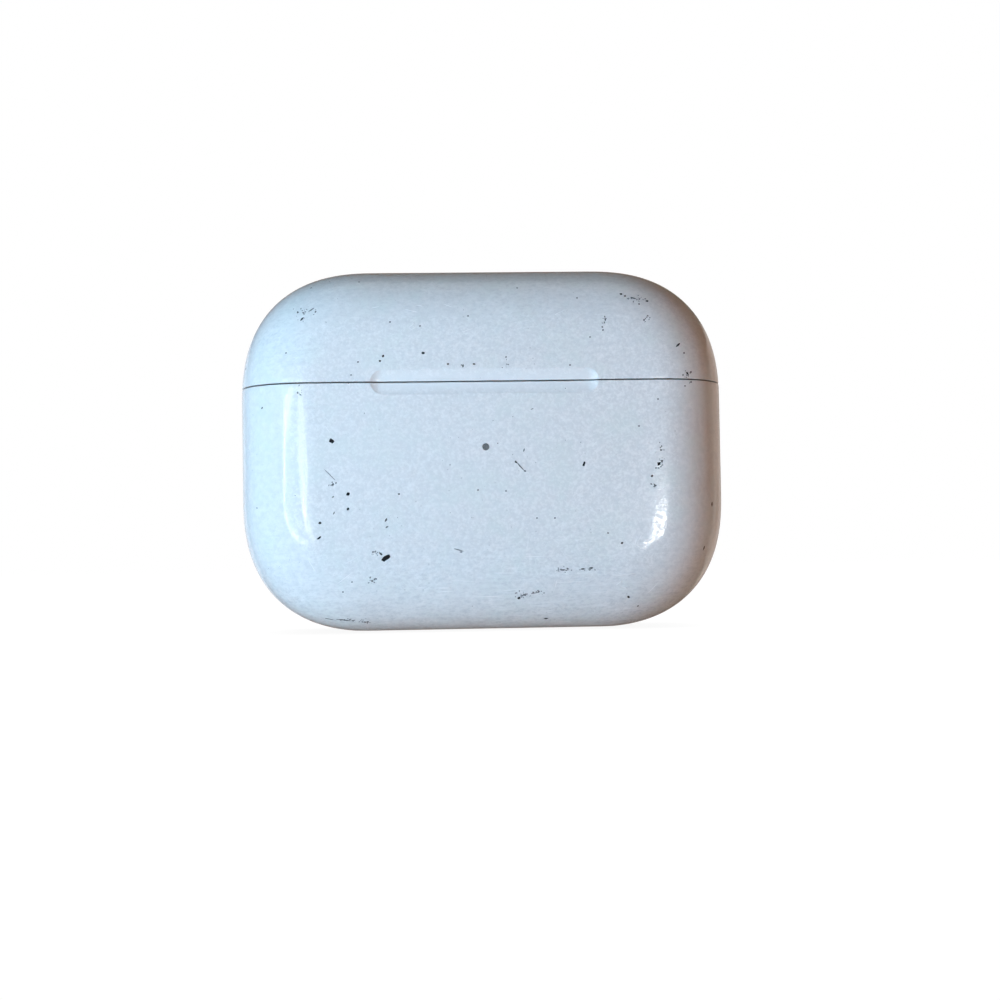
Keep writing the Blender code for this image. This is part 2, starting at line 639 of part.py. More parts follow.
def build_contacts():
    for label, side in SIDES.items():
        flange_top = TUBE_FOOT - CLEARANCE
        wide, narrow = STEM_RADIUS + WELL_WALL, STEM_RADIUS - CLEARANCE
        flange_foot = flange_top - CARRIER_FLANGE
        profile = [
            (0, CARRIER_TOP), (narrow, CARRIER_TOP), (narrow, flange_top),
            (wide, flange_top), (wide, flange_foot), (0, flange_foot),
        ]
        at = Vector((STEM_X * side, STEM_Y, 0))
        carrier = turned_piece("contact_carrier_" + label, profile, BLACK, at)
        for place, shift in (("front", -CONTACT_SPACING / 2), ("rear", CONTACT_SPACING / 2)):
            name = "contact_" + label + "_" + place
            spot = at + Vector((0, shift, 0))
            hole = helper(name + "_hole", rod(CONTACT_RADIUS + SLIP, 4 * CARRIER_TOP, 12), at=spot)
            boolean(carrier, "DIFFERENCE", hole)
            profile = [
                (0, CONTACT_TOP), (0.6 * CONTACT_RADIUS, CONTACT_TOP), (CONTACT_RADIUS, CONTACT_TOP - SLIP),
                (CONTACT_RADIUS, CONTACT_FOOT), (0, CONTACT_FOOT),
            ]
            turned_piece(name, profile, GOLD, spot, steps=12)


def build_socket():
    shell_width, shell_height = SOCKET_WIDTH + 2 * SOCKET_WALL, SOCKET_HEIGHT + 2 * SOCKET_WALL
    top = SOCKET_FOOT + SOCKET_DEPTH
    shell = piece("socket_shell", pill(shell_width, shell_height, SOCKET_FOOT, top + SOCKET_WALL), STEEL)
    boolean(shell, "DIFFERENCE", helper("socket_mouth", pill(SOCKET_WIDTH, SOCKET_HEIGHT, -WALL, top)))

    inner_width, inner_height = shell_width + 2 * CLEARANCE, shell_height + 2 * CLEARANCE
    outer_width, outer_height = inner_width + 2 * TRIM_WALL, inner_height + 2 * TRIM_WALL
    trim = piece("socket_trim", pill(outer_width, outer_height, SLIP / 2, TRIM_DEPTH), STEEL)
    boolean(trim, "DIFFERENCE", helper("trim_mouth", pill(inner_width, inner_height, -WALL, 2 * TRIM_DEPTH)))

    root_width = SOCKET_WIDTH - 2 * CLEARANCE
    root_foot = top - SLIP - TONGUE_ROOT
    tongue = piece(
        "socket_tongue", pill(root_width, SOCKET_HEIGHT - 2 * CLEARANCE, root_foot, top - SLIP), BLACK
    )
    blade = (TONGUE_WIDTH, TONGUE_THICKNESS, TONGUE_LENGTH + TONGUE_ROOT / 2)
    blade_centre = root_foot + TONGUE_ROOT / 2 - blade[2] / 2
    boolean(tongue, "UNION", helper("tongue_blade", block(blade), at=(0, 0, blade_centre)))


def build_magnets():
    height = CLOSURE_MAGNET_SIZE.z
    base_z = TRAY_TOP - DECK_THICKNESS - SLIP - height / 2
    lid_z = LINER_FOOT + DECK_THICKNESS + SLIP + height / 2
    lid_pieces = []
    for label, side in SIDES.items():
        x = CLOSURE_MAGNET_X * side
        at = (x, CLOSURE_MAGNET_Y, base_z)
        piece("closure_magnet_" + label, block(CLOSURE_MAGNET_SIZE, 0.2 * MM, 1), MAGNET_NICKEL, at=at)
        at = (x, CLOSURE_MAGNET_Y, lid_z)
        lid_pieces.append(
            piece("lid_magnet_" + label, block(CLOSURE_MAGNET_SIZE, 0.2 * MM, 1), MAGNET_NICKEL, at=at)
        )
        at = (BUD_MAGNET_CENTRE.x * side, BUD_MAGNET_CENTRE.y, BUD_MAGNET_CENTRE.z)
        piece("bud_magnet_" + label, rod(BUD_MAGNET_RADIUS, BUD_MAGNET_THICKNESS), MAGNET_NICKEL, at=at)
    at = (0, CLOSURE_MAGNET_Y, LINER_FOOT + DECK_THICKNESS + SLIP + SENSOR_MAGNET_LENGTH / 2)
    sensor_magnet = rod(SENSOR_MAGNET_RADIUS, SENSOR_MAGNET_LENGTH, 16)
    lid_pieces.append(piece("sensor_magnet", sensor_magnet, MAGNET_NICKEL, at=at))
    return lid_pieces


def hang_on_pivot(name, at, pieces):
    """Parents pieces to an empty on their joint's axis, where they stand."""
    pivot = bpy.data.objects.new(name, None)
    pivot.location = at
    CASE.objects.link(pivot)
    bpy.context.view_layer.update()
    for child in pieces:
        child.parent = pivot
        child.matrix_parent_inverse = pivot.matrix_world.inverted()


build_base_shell()
build_inner_tray()
flex_front = build_status_light()
build_flex(flex_front)
build_electronics()
build_contacts()
build_socket()
build_pairing_button()
lid_hinge_bracket = build_hinge()
lid_magnets = build_magnets()
lid_shell = build_lid_shell()
lid_liner = build_lid_liner()
lid_pieces = [lid_shell, lid_liner, lid_hinge_bracket, *lid_magnets]
hang_on_pivot("lid_pivot", (0, HINGE_AXIS_Y, HINGE_AXIS_Z), lid_pieces)
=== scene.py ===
import math
import random

import bmesh
import bpy
from mathutils import Euler, Matrix, Vector
from mathutils.bvhtree import BVHTree
from mathutils.interpolate import poly_3d_calc


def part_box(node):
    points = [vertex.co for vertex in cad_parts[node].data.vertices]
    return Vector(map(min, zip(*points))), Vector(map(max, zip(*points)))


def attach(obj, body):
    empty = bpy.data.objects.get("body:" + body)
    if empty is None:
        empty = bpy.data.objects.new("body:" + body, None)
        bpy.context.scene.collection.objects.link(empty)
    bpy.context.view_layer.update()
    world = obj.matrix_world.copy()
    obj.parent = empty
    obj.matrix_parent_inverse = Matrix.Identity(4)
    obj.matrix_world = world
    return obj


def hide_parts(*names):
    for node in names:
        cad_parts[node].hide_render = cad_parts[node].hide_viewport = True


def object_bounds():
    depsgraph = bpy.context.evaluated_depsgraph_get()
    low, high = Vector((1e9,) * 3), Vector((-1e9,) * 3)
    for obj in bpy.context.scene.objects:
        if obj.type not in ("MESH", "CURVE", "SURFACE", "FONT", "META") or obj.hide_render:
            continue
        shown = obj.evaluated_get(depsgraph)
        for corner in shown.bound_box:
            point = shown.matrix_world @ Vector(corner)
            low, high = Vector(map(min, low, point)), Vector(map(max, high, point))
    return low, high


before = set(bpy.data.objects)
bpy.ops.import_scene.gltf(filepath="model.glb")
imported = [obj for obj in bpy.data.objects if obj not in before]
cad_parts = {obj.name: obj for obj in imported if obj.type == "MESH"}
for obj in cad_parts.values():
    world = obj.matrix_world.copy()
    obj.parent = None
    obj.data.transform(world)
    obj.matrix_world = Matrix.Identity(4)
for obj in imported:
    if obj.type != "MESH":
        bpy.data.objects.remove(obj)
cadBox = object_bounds()
print("frame loaded:", len(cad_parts), "nodes")

# shapes are in millimetres and are scaled to metres when they become objects; finishes are in metres
mm = 0.001
weldReach = 1e-7
caseWidth, caseDepth, caseHeight = [(high - low) / mm for low, high in zip(cadBox[0], cadBox[1])]
sides = {"left": -1, "right": 1}


def nodeBox(name):  # a CAD node's box in millimetres
    low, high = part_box(name)
    return low / mm, high / mm


# shader wires

class Wire:
    def __init__(self, tree, socket=None):
        self.tree = tree
        self.socket = socket

    def node(self, kind, settings=None, sockets=None, out=0):
        made = self.tree.nodes.new(kind)
        for name, value in (settings or {}).items():
            setattr(made, name, value)
        for name, value in (sockets or {}).items():
            if isinstance(value, Wire):
                self.tree.links.new(value.socket, made.inputs[name])
            else:
                made.inputs[name].default_value = value
        return Wire(self.tree, made.outputs[out])

    def maths(self, operation, first, second):
        return self.node("ShaderNodeMath", {"operation": operation}, {0: first, 1: second})

    def __add__(self, other):
        return self.maths("ADD", self, other)

    def __sub__(self, other):
        return self.maths("SUBTRACT", self, other)

    def __rsub__(self, other):
        return self.maths("SUBTRACT", other, self)

    def __mul__(self, other):
        return self.maths("MULTIPLY", self, other)

    def __pow__(self, other):
        return self.maths("POWER", self, other)

    def __abs__(self):
        return self.node("ShaderNodeMath", {"operation": "ABSOLUTE"}, {0: self})

    __radd__ = __add__
    __rmul__ = __mul__


def fade(value, low, high):  # 0 below low, 1 above high, eased between
    reach = {"Value": value, "From Min": low, "From Max": high}
    return value.node("ShaderNodeMapRange", {"interpolation_type": "SMOOTHSTEP"}, reach)


def tint(mask, under, over):  # a colour that goes from under to over as the mask rises
    return mask.node("ShaderNodeMix", {"data_type": "RGBA"}, {0: mask, 6: under, 7: over}, 2)


def coordinate(spot, axis):
    return spot.node("ShaderNodeSeparateXYZ", None, {0: spot}, axis)


def vectorMaths(operation, first, second=(0, 0, 0), out=0):
    return first.node("ShaderNodeVectorMath", {"operation": operation}, {0: first, 1: second}, out)


def scaled(vector, factor):
    return factor.node("ShaderNodeVectorMath", {"operation": "SCALE"}, {0: vector, "Scale": factor})


def outside(spot, half):  # how far a place lies outside a box about the origin
    over = vectorMaths("SUBTRACT", vectorMaths("ABSOLUTE", spot), half)
    return vectorMaths("LENGTH", vectorMaths("MAXIMUM", over), out="Value")


def grain(spot, scale, detail=3.0, roughness=0.5):
    return spot.node("ShaderNodeTexNoise", None, {
        "Vector": spot, "Scale": scale, "Detail": detail, "Roughness": roughness})


def stretched(spot, turn, stretch):  # coordinates turned about Y and drawn out, for marks with a direction
    given = {"Vector": spot, "Rotation": (0, turn, 0)}
    return vectorMaths("MULTIPLY", spot.node("ShaderNodeMapping", {"vector_type": "POINT"}, given), stretch)


def band(spot, levels, scale=1.0, detail=3.0, roughness=0.5, turn=0.0, stretch=None):  # noise between levels
    if stretch:
        spot = stretched(spot, turn, stretch)
    return fade(grain(spot, scale, detail, roughness), *levels)


def bump(height, strength, distance):
    return height.node("ShaderNodeBump", None, {"Height": height, "Strength": strength, "Distance": distance})


def startMaterial(name, **fixed):
    made = bpy.data.materials.new(name)
    made.use_nodes = True
    shader = made.node_tree.nodes["Principled BSDF"]
    for socket, value in fixed.items():
        shader.inputs[socket.replace("_", " ")].default_value = value
    start = Wire(made.node_tree)
    return made, shader, start.node("ShaderNodeTexCoord", out="Object")


def feed(shader, **wires):
    for socket, wire in wires.items():
        wire.tree.links.new(wire.socket, shader.inputs[socket.replace("_", " ")])


def coat(shader, look, mask, pores, height):  # two colours, pores in the roughness and a slight relief
    feed(shader, Base_Color=tint(mask, look["under"], look["over"]),
         Roughness=look["roughness"] + pores * look["poreRoughness"], Normal=bump(height, *look["bump"]))


# the worn gloss of the shells

wornGloss = {
    "white": (0.90, 0.905, 0.91, 1), "dull": (0.75, 0.76, 0.77, 1), "cool": (0.80, 0.85, 0.835, 1),
    "cloudyWearAndScoopLight": (0.94, 0.95, 0.96, 1), "pale": (0.98, 0.98, 0.985, 1), "dusty": (0.28, 0.28, 0.29, 1),
    "hazy": (0.66, 0.68, 0.70, 1),
    "rubbedFoot": (0.002, 0.017),  # heights over which the rubbed foot of the case runs out
    "hazedLid": (0.030, 0.034),  # heights over which the lid's haze sets in
    "scuffedFace": (0.0098, 0.0107),  # depths over which the sides turn into the scuffed faces
    # the box of the finger scoop, inside which the colour is painted paler as painted light
    "scoopCentre": (0, -0.0109, 0.0305), "scoopHalf": (0.0124, 0.003, 0), "scoopEdge": (0.0013, 0.0016),
    "lineNoise": (1.0, 2, 0.4), "lineLevel": 0.5, "lineEdge": (0.002, 0.009), "scuffNoise": (3000, 1),
    "speckleScale": 1100.0, "speckleEdge": (0.05, 0.14), "bump": (0.8, 0.00002),
    "bands": {  # noises cut between two levels
        "mottle": {"levels": (0.42, 0.7), "scale": 230, "detail": 4, "roughness": 0.6},
        "fine": {"levels": (0.25, 0.75), "scale": 1300, "detail": 5, "roughness": 0.75},
        "clouds": {"levels": (0.46, 0.7), "scale": 170, "detail": 5, "roughness": 0.62},
        "patches": {"levels": (0.48, 0.62), "scale": 140},
        "dusting": {"levels": (0.56, 0.68), "scale": 150, "detail": 2},
        "rubs": {"levels": (0.5, 0.55), "scale": 2600, "roughness": 0.65},
        "strokes": {"levels": (0.5, 0.66), "detail": 5, "roughness": 0.6, "turn": 0.04,
                    "stretch": (300, 300, 2600)},
        "smears": {"levels": (0.5, 0.68), "detail": 5, "roughness": 0.65, "turn": 0.7,
                   "stretch": (520, 520, 2000)},
        "haze": {"levels": (0.42, 0.7), "detail": 4, "roughness": 0.7, "turn": 0.05,
                 "stretch": (1400, 1400, 2600)},
    },
    "hairlines": {  # how far the lines are turned, and how the noise is drawn out along and across them
        "level": (0.12, 60, 2300), "rising": (0.95, 80, 2700), "falling": (2.3, 95, 3000),
    },
    "wearShares": {"smears": 0.6, "clouds": 0.12, "strokesAtFoot": 0.5, "strokesInClouds": 0.3},
    "hazeShares": {"foot": 0.7, "lid": 0.4, "clouds": 0.3},
    # the scoop share is painted light in the finger scoop; the other shares are the finish's own tones
    "colourShares": {"fine": 0.85, "mottle": 0.6, "wear": 0.7, "scoop": 0.5, "lines": 0.35, "dust": 0.45},
    "roughShares": {"plain": 0.035, "wear": 0.07, "lines": 0.12, "dust": 0.3, "rubs": 0.27},
    "heightShares": {"face": 0.25, "sides": 0.1, "lines": 0.5, "wear": 0.3},
}


def hairlineMask(spot, patches):
    lines = None
    for turn, along, across in wornGloss["hairlines"].values():
        ridge = grain(stretched(spot, turn, (along, along, across)), *wornGloss["lineNoise"])
        line = (1 - fade(abs(ridge - wornGloss["lineLevel"]), *wornGloss["lineEdge"])) * patches
        lines = line if lines is None else lines.maths("MAXIMUM", lines, line)
    return lines


def makeWornGloss():
    look = wornGloss
    made, shader, spot = startMaterial("worn gloss white", IOR=1.49)
    bands = {name: band(spot, **form) for name, form in look["bands"].items()}
    clouds = bands["clouds"]
    face = fade(abs(coordinate(spot, "Y")), *look["scuffedFace"])
    height = coordinate(spot, "Z")
    rubbed = 1 - fade(height, *look["rubbedFoot"])
    onLid = fade(height, *look["hazedLid"])
    share = look["wearShares"]
    wear = clouds * (bands["smears"] * share["smears"] + share["clouds"])
    wear = wear + bands["strokes"] * (rubbed * share["strokesAtFoot"] + clouds * share["strokesInClouds"])
    share = look["hazeShares"]
    haze = bands["haze"] * (rubbed * share["foot"] + onLid * share["lid"] + clouds * share["clouds"])
    lines = hairlineMask(spot, bands["patches"])
    cells = {"Vector": spot, "Scale": look["speckleScale"]}
    speckle = spot.node("ShaderNodeTexVoronoi", {"feature": "F1"}, cells)
    dust = (1 - fade(speckle, *look["speckleEdge"])) * bands["dusting"]
    # painted light: the finger scoop is painted paler, as if its dish caught more light
    fromScoop = outside(vectorMaths("SUBTRACT", spot, look["scoopCentre"]), look["scoopHalf"])
    scoopPaintedLight = 1 - fade(fromScoop, *look["scoopEdge"])
    share = look["colourShares"]
    colour = tint(bands["fine"] * share["fine"] + (1 - share["fine"]), look["dull"], look["white"])
    colour = tint(bands["mottle"] * share["mottle"], colour, look["cool"])
    colour = tint(haze, colour, look["hazy"])
    colour = tint(wear * share["wear"], colour, look["cloudyWearAndScoopLight"])
    colour = tint(scoopPaintedLight * share["scoop"], colour, look["cloudyWearAndScoopLight"])
    colour = tint(lines * share["lines"], colour, look["pale"])
    colour = tint(dust * share["dust"], colour, look["dusty"])
    share = look["roughShares"]
    rough = share["plain"] + wear * share["wear"] + lines * share["lines"] + dust * share["dust"]
    rough = rough + bands["rubs"] * face * share["rubs"]
    share = look["heightShares"]
    surface = grain(spot, *look["scuffNoise"]) * (face * share["face"] + share["sides"])
    surface = surface + lines * share["lines"] + wear * share["wear"]
    feed(shader, Base_Color=colour, Roughness=rough, Normal=bump(surface, *look["bump"]))
    return made


# the plainer finishes; noises are given by scale and detail, bumps by strength and distance

satinLiner = {
    "under": (0.83, 0.84, 0.85, 1), "over": (0.76, 0.77, 0.78, 1), "shading": 0.4,
    "clouds": {"levels": (0.45, 0.7), "scale": 120, "detail": 4},
    "pores": (5200, 2), "roughness": 0.34, "poreRoughness": 0.12, "bump": (0.1, 0.00002),
}


def makeSatinLiner():
    made, shader, spot = startMaterial("satin liner white", IOR=1.47)
    pores = grain(spot, *satinLiner["pores"])
    coat(shader, satinLiner, band(spot, **satinLiner["clouds"]) * satinLiner["shading"], pores, pores)
    return made


lightWindow = {
    "under": (0.10, 0.115, 0.12, 1), "over": (0.19, 0.205, 0.21, 1),
    "pores": (6000, 3), "roughness": 0.16, "poreRoughness": 0.2, "bump": (0.1, 0.00001),
}


def makeLightWindow():
    made, shader, spot = startMaterial("status light window", IOR=1.5)
    pores = grain(spot, *lightWindow["pores"])
    coat(shader, lightWindow, pores, pores, pores)
    return made


metalGrain = {
    "metallic": 0.85, "streakDetail": 4, "streakRoughness": 0.12,
    "worn": {"levels": (0.5, 0.75), "scale": 700}, "wornRoughness": 0.04, "bump": (0.08, 0.00001),
}
metalLooks = {
    "hinge_steel": {"under": (0.62, 0.63, 0.65, 1), "over": (0.86, 0.87, 0.89, 1), "roughness": 0.16,
                    "streaks": (60, 2600, 2600), "metallic": 0.6},
    "socket_steel": {"under": (0.46, 0.47, 0.49, 1), "over": (0.66, 0.67, 0.69, 1), "roughness": 0.2,
                     "streaks": (900, 900, 3000)},
    "contact_gold": {"under": (0.72, 0.48, 0.16, 1), "over": (0.92, 0.70, 0.34, 1), "roughness": 0.16,
                     "streaks": (2600, 2600, 900)},
    "cell_silver": {"under": (0.42, 0.43, 0.45, 1), "over": (0.62, 0.63, 0.65, 1), "roughness": 0.3,
                    "streaks": (300, 300, 2400)},
    "magnet_nickel": {"under": (0.44, 0.44, 0.45, 1), "over": (0.6, 0.6, 0.61, 1), "roughness": 0.22,
                      "streaks": (1800, 1800, 1800)},
}


def makeBrushedMetal(slotName):
    look = {**metalGrain, **metalLooks[slotName]}
    made, shader, spot = startMaterial(slotName.replace("_", " "), Metallic=look["metallic"])
    streaks = grain(stretched(spot, 0, look["streaks"]), 1.0, look["streakDetail"])
    worn = band(spot, **look["worn"]) * look["wornRoughness"]
    feed(shader, Base_Color=tint(streaks, look["under"], look["over"]),
         Roughness=look["roughness"] + streaks * look["streakRoughness"] + worn,
         Normal=bump(streaks, *look["bump"]))
    return made


mouldedGrain = {"poreDetail": 4, "broader": 14, "poreRoughness": 0.15, "bump": (0.25, 0.00003)}
mouldedLooks = {
    "black_plastic": {"under": (0.012, 0.012, 0.013, 1), "over": (0.03, 0.03, 0.033, 1), "roughness": 0.38,
                      "scale": 5200},
    "flex_amber": {"under": (0.34, 0.15, 0.03, 1), "over": (0.52, 0.27, 0.06, 1), "roughness": 0.3,
                   "scale": 2600},
    "ferrite": {"under": (0.03, 0.03, 0.032, 1), "over": (0.075, 0.072, 0.07, 1), "roughness": 0.6,
                "scale": 3600},
}


def makeMoulded(slotName):
    look = {**mouldedGrain, **mouldedLooks[slotName]}
    made, shader, spot = startMaterial(slotName.replace("_", " "), IOR=1.48)
    pores = grain(spot, look["scale"], look["poreDetail"])
    coat(shader, look, grain(spot, look["scale"] / look["broader"]), pores, pores)
    return made


circuitBoard = {
    "under": (0.012, 0.075, 0.04, 1), "over": (0.05, 0.2, 0.1, 1),
    "traceScale": 700.0, "traceEdge": (0.03, 0.07),
    "pores": (3000, 2), "roughness": 0.35, "poreRoughness": 0.15, "bump": (0.3, 0.00003),
}


def makeCircuitBoard():
    made, shader, spot = startMaterial("board green", IOR=1.5)
    cells = {"Vector": spot, "Scale": circuitBoard["traceScale"]}
    edges = spot.node("ShaderNodeTexVoronoi", {"feature": "DISTANCE_TO_EDGE"}, cells)
    traces = 1 - fade(edges, *circuitBoard["traceEdge"])
    coat(shader, circuitBoard, traces, grain(spot, *circuitBoard["pores"]), traces)
    return made


woundCopper = {
    "under": (0.25, 0.09, 0.03, 1), "over": (0.78, 0.40, 0.22, 1),
    "turnsPerMetre": 3300, "wireEdge": (0.05, 0.3),
    "pores": (2500, 2), "roughness": 0.28, "poreRoughness": 0.2, "bump": (0.6, 0.00008),
}


def makeWoundCopper(centre):
    look = woundCopper
    made, shader, spot = startMaterial("coil copper", Metallic=1.0)
    flat = vectorMaths("MULTIPLY", vectorMaths("SUBTRACT", spot, centre), (1, 0, 1))
    reach = vectorMaths("LENGTH", flat, out="Value") * look["turnsPerMetre"]
    turns = reach.maths("PINGPONG", reach, 0.5)  # rises and falls once for each turn of wire
    coat(shader, look, fade(turns, *look["wireEdge"]), grain(spot, *look["pores"]), turns)
    return made


settledGrime = {
    "black": (0.004, 0.005, 0.007, 1), "crumb": (0.03, 0.029, 0.031, 1), "over": (0.34, 0.35, 0.37, 1),
    "pores": (9000, 4), "roughness": 0.5, "poreRoughness": 0.4, "bump": (0.4, 0.00002),
}


def makeGrime():
    look = settledGrime
    made, shader, spot = startMaterial("settled grime", Specular_IOR_Level=0.1)
    crumbs = grain(spot, *look["pores"])
    shade = spot.node("ShaderNodeAttribute", {"attribute_name": "shade"}, None, "Fac")
    coat(shader, {**look, "under": tint(crumbs, look["black"], look["crumb"])}, shade, crumbs, crumbs)
    return made


scratchLook = {
    "under": (0.88, 0.89, 0.90, 1), "over": (1.0, 1.0, 1.0, 1),
    "pores": (4000, 3), "roughness": 0.4, "poreRoughness": 0.3,
}


def makePaleScratch():
    made, shader, spot = startMaterial("pale scratch", Specular_IOR_Level=0.2)
    crumbs = grain(spot, *scratchLook["pores"])
    feed(shader, Base_Color=tint(crumbs, scratchLook["under"], scratchLook["over"]),
         Roughness=scratchLook["roughness"] + crumbs * scratchLook["poreRoughness"])
    return made


buttonHeight = (nodeBox("pairing_button")[0].z + nodeBox("pairing_button")[1].z) / 2
finishes = {
    "shell_white": makeWornGloss(), "liner_white": makeSatinLiner(), "lens_grey": makeLightWindow(),
    "board_green": makeCircuitBoard(),
    "coil_copper": makeWoundCopper((0, 0, buttonHeight * mm)),  # wound about the button's axis
}
for slotName in metalLooks:
    finishes[slotName] = makeBrushedMetal(slotName)
for slotName in mouldedLooks:
    finishes[slotName] = makeMoulded(slotName)
grime = makeGrime()
paleScratch = makePaleScratch()
print("finishes made:", len(finishes), "and two for marks")


# mesh helpers

mouthSteps = 6  # facets across a rounded mouth or rim
facingBack = (-math.pi / 2, 0, 0)  # turns +Z to +Y
facingFront = (math.pi / 2, 0, 0)  # turns +Z to -Y
facingRight = (0, math.pi / 2, 0)  # turns +Z to +X


def joinRows(shape, rows, around=True):  # faces between neighbouring rows of equally many points
    for low, high in zip(rows, rows[1:]):
        count = len(low)
        for i in range(count if around else count - 1):
            k = (i + 1) % count
            shape.faces.new((low[i], low[k], high[k], high[i]))


def skin(rings, closed=False, caps=True):  # a surface through rings of points
    shape = bmesh.new()
    loops = [[shape.verts.new(point) for point in ring] for ring in rings]
    joinRows(shape, loops + loops[:1] if closed else loops)
    if caps and not closed:
        shape.faces.new(loops[0])
        shape.faces.new(loops[-1])
    return shape


def roundAngles(steps):
    return [2 * math.pi * i / steps for i in range(steps)]


def turned(profile, steps):  # (radius, height) pairs, turned about Z; a radius of 0 closes the end
    angles = roundAngles(steps)
    return skin([[(radius * math.cos(angle), radius * math.sin(angle), level) for angle in angles]
                 for radius, level in profile], caps=False)


def plug(radius, half, steps):  # a plain round cutter
    return turned([(0, half), (radius, half), (radius, -half), (0, -half)], steps)


def arc(centre, radius, start, end, steps):  # points of an arc in a plane, angles in degrees
    angles = [math.radians(start + (end - start) * i / steps) for i in range(steps + 1)]
    return [(centre[0] + radius * math.cos(angle), centre[1] + radius * math.sin(angle)) for angle in angles]


def roundedTop(radius, top, rounding, steps):  # the upper part of a turned profile
    return [(0, top)] + arc((radius - rounding, top - rounding), rounding, 90, 0, steps)


def pillRing(width, height, level, steps=24):  # a level round-ended ring
    radius, run = height / 2, (width - height) / 2
    ring = arc((run, 0), radius, -90, 90, steps) + arc((-run, 0), radius, 90, 270, steps)
    return [(x, y, level) for x, y in ring]


def pillRings(width, height, profile):  # one ring for each (how much it grows, level) of the profile
    return [pillRing(width + 2 * grow, height + 2 * grow, level) for grow, level in profile]


def ovalRing(centre, halfX, halfY, level, power, steps=96):  # a level superellipse
    def bent(share):
        return math.copysign(abs(share) ** (2 / power), share)

    return [(centre[0] + bent(math.cos(angle)) * halfX, centre[1] + bent(math.sin(angle)) * halfY, level)
            for angle in roundAngles(steps)]


def prism(outline, low, high):  # a (y, z) outline drawn out along X
    return skin([[(low, y, z) for y, z in outline], [(high, y, z) for y, z in outline]])


def bevelEdges(shape, edges, width, steps):
    bmesh.ops.bevel(shape, geom=edges, offset=width, offset_type="OFFSET", segments=steps, profile=0.5,
                    affect="EDGES", clamp_overlap=True)


def box(low, high):
    shape = bmesh.new()
    bmesh.ops.create_cube(shape, size=1.0)
    low, high = Vector(low), Vector(high)
    bmesh.ops.scale(shape, vec=high - low, verts=shape.verts)
    bmesh.ops.translate(shape, vec=(low + high) / 2, verts=shape.verts)
    return shape


def moved(shape, place, turn=(0, 0, 0)):
    matrix = Matrix.Translation(place) @ Euler(turn).to_matrix().to_4x4()
    bmesh.ops.transform(shape, matrix=matrix, verts=shape.verts)
    return shape


def linkObject(name, data):
    made = bpy.data.objects.new(name, data)
    bpy.context.scene.collection.objects.link(made)
    return made


def freshObject(name, shape):
    bmesh.ops.scale(shape, vec=(mm, mm, mm), verts=shape.verts)
    bmesh.ops.remove_doubles(shape, verts=shape.verts, dist=weldReach)
    bmesh.ops.recalc_face_normals(shape, faces=shape.faces)
    mesh = bpy.data.meshes.new(name)
    shape.to_mesh(mesh)
    shape.free()
    return linkObject(name, mesh)


def settle(made):  # modifiers become plain mesh
    shown = made.evaluated_get(bpy.context.evaluated_depsgraph_get())
    plain = bpy.data.meshes.new_from_object(shown)
    made.modifiers.clear()
    made.data = plain
    return made


def carve(made, operation, *shapes):
    tools = [freshObject("carving tool", shape) for shape in shapes]
    for tool in tools:
        step = made.modifiers.new("carve", "BOOLEAN")
        step.operation = operation
        step.object = tool
    settle(made)
    for tool in tools:
        bpy.data.objects.remove(tool, do_unlink=True)
    return made


def soften(made, width, steps=2, angle=35):
    step = made.modifiers.new("soften", "BEVEL")
    step.width = width * mm
    step.segments = steps
    step.limit_method = "ANGLE"
    step.angle_limit = math.radians(angle)
    step.use_clamp_overlap = True
    step.harden_normals = False
    return settle(made)


def paint(made, finish):  # one finish all over
    made.data.materials.clear()
    made.data.materials.append(finish)


def dress(made, slotName, body, *replaced, sharp=38):
    made.data.shade_smooth()
    made.data.set_sharp_from_angle(angle=math.radians(sharp))
    made.modifiers.new("flat faces stay flat", "WEIGHTED_NORMAL").keep_sharp = True
    settle(made)
    paint(made, finishes[slotName])
    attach(made, body)
    if replaced:
        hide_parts(*replaced)
    return made


# node trees for pieces that repeat

def startTree(name, kinds):  # a tree with named inputs; gives the tree, the inputs' sockets and their wires
    tree = bpy.data.node_groups.new(name, "GeometryNodeTree")
    tree.interface.new_socket("Geometry", in_out="OUTPUT", socket_type="NodeSocketGeometry")
    sockets = {}
    for label, kind in kinds.items():
        sockets[label] = tree.interface.new_socket(label, in_out="INPUT", socket_type="NodeSocket" + kind)
    given = tree.nodes.new("NodeGroupInput")
    return tree, sockets, {label: Wire(tree, given.outputs[label]) for label in kinds}


def joinParts(tree, parts):
    joined = Wire(tree).node("GeometryNodeJoinGeometry")
    for part in parts:
        tree.links.new(part.socket, joined.socket.node.inputs["Geometry"])
    return joined


def endTree(tree, instances, finish):
    solid = instances.node("GeometryNodeRealizeInstances", None, {"Geometry": instances})
    painted = solid.node("GeometryNodeSetMaterial", None, {"Geometry": solid, "Material": finish})
    out = tree.nodes.new("NodeGroupOutput")
    tree.links.new(painted.socket, out.inputs["Geometry"])


def growTree(made, tree, sockets, values):  # runs the tree once and keeps its mesh
    step = made.modifiers.new(tree.name, "NODES")
    step.node_group = tree
    for label, value in values.items():
        step[sockets[label].identifier] = value
    return settle(made)


# the two outer mouldings: one soft form, split at the seam

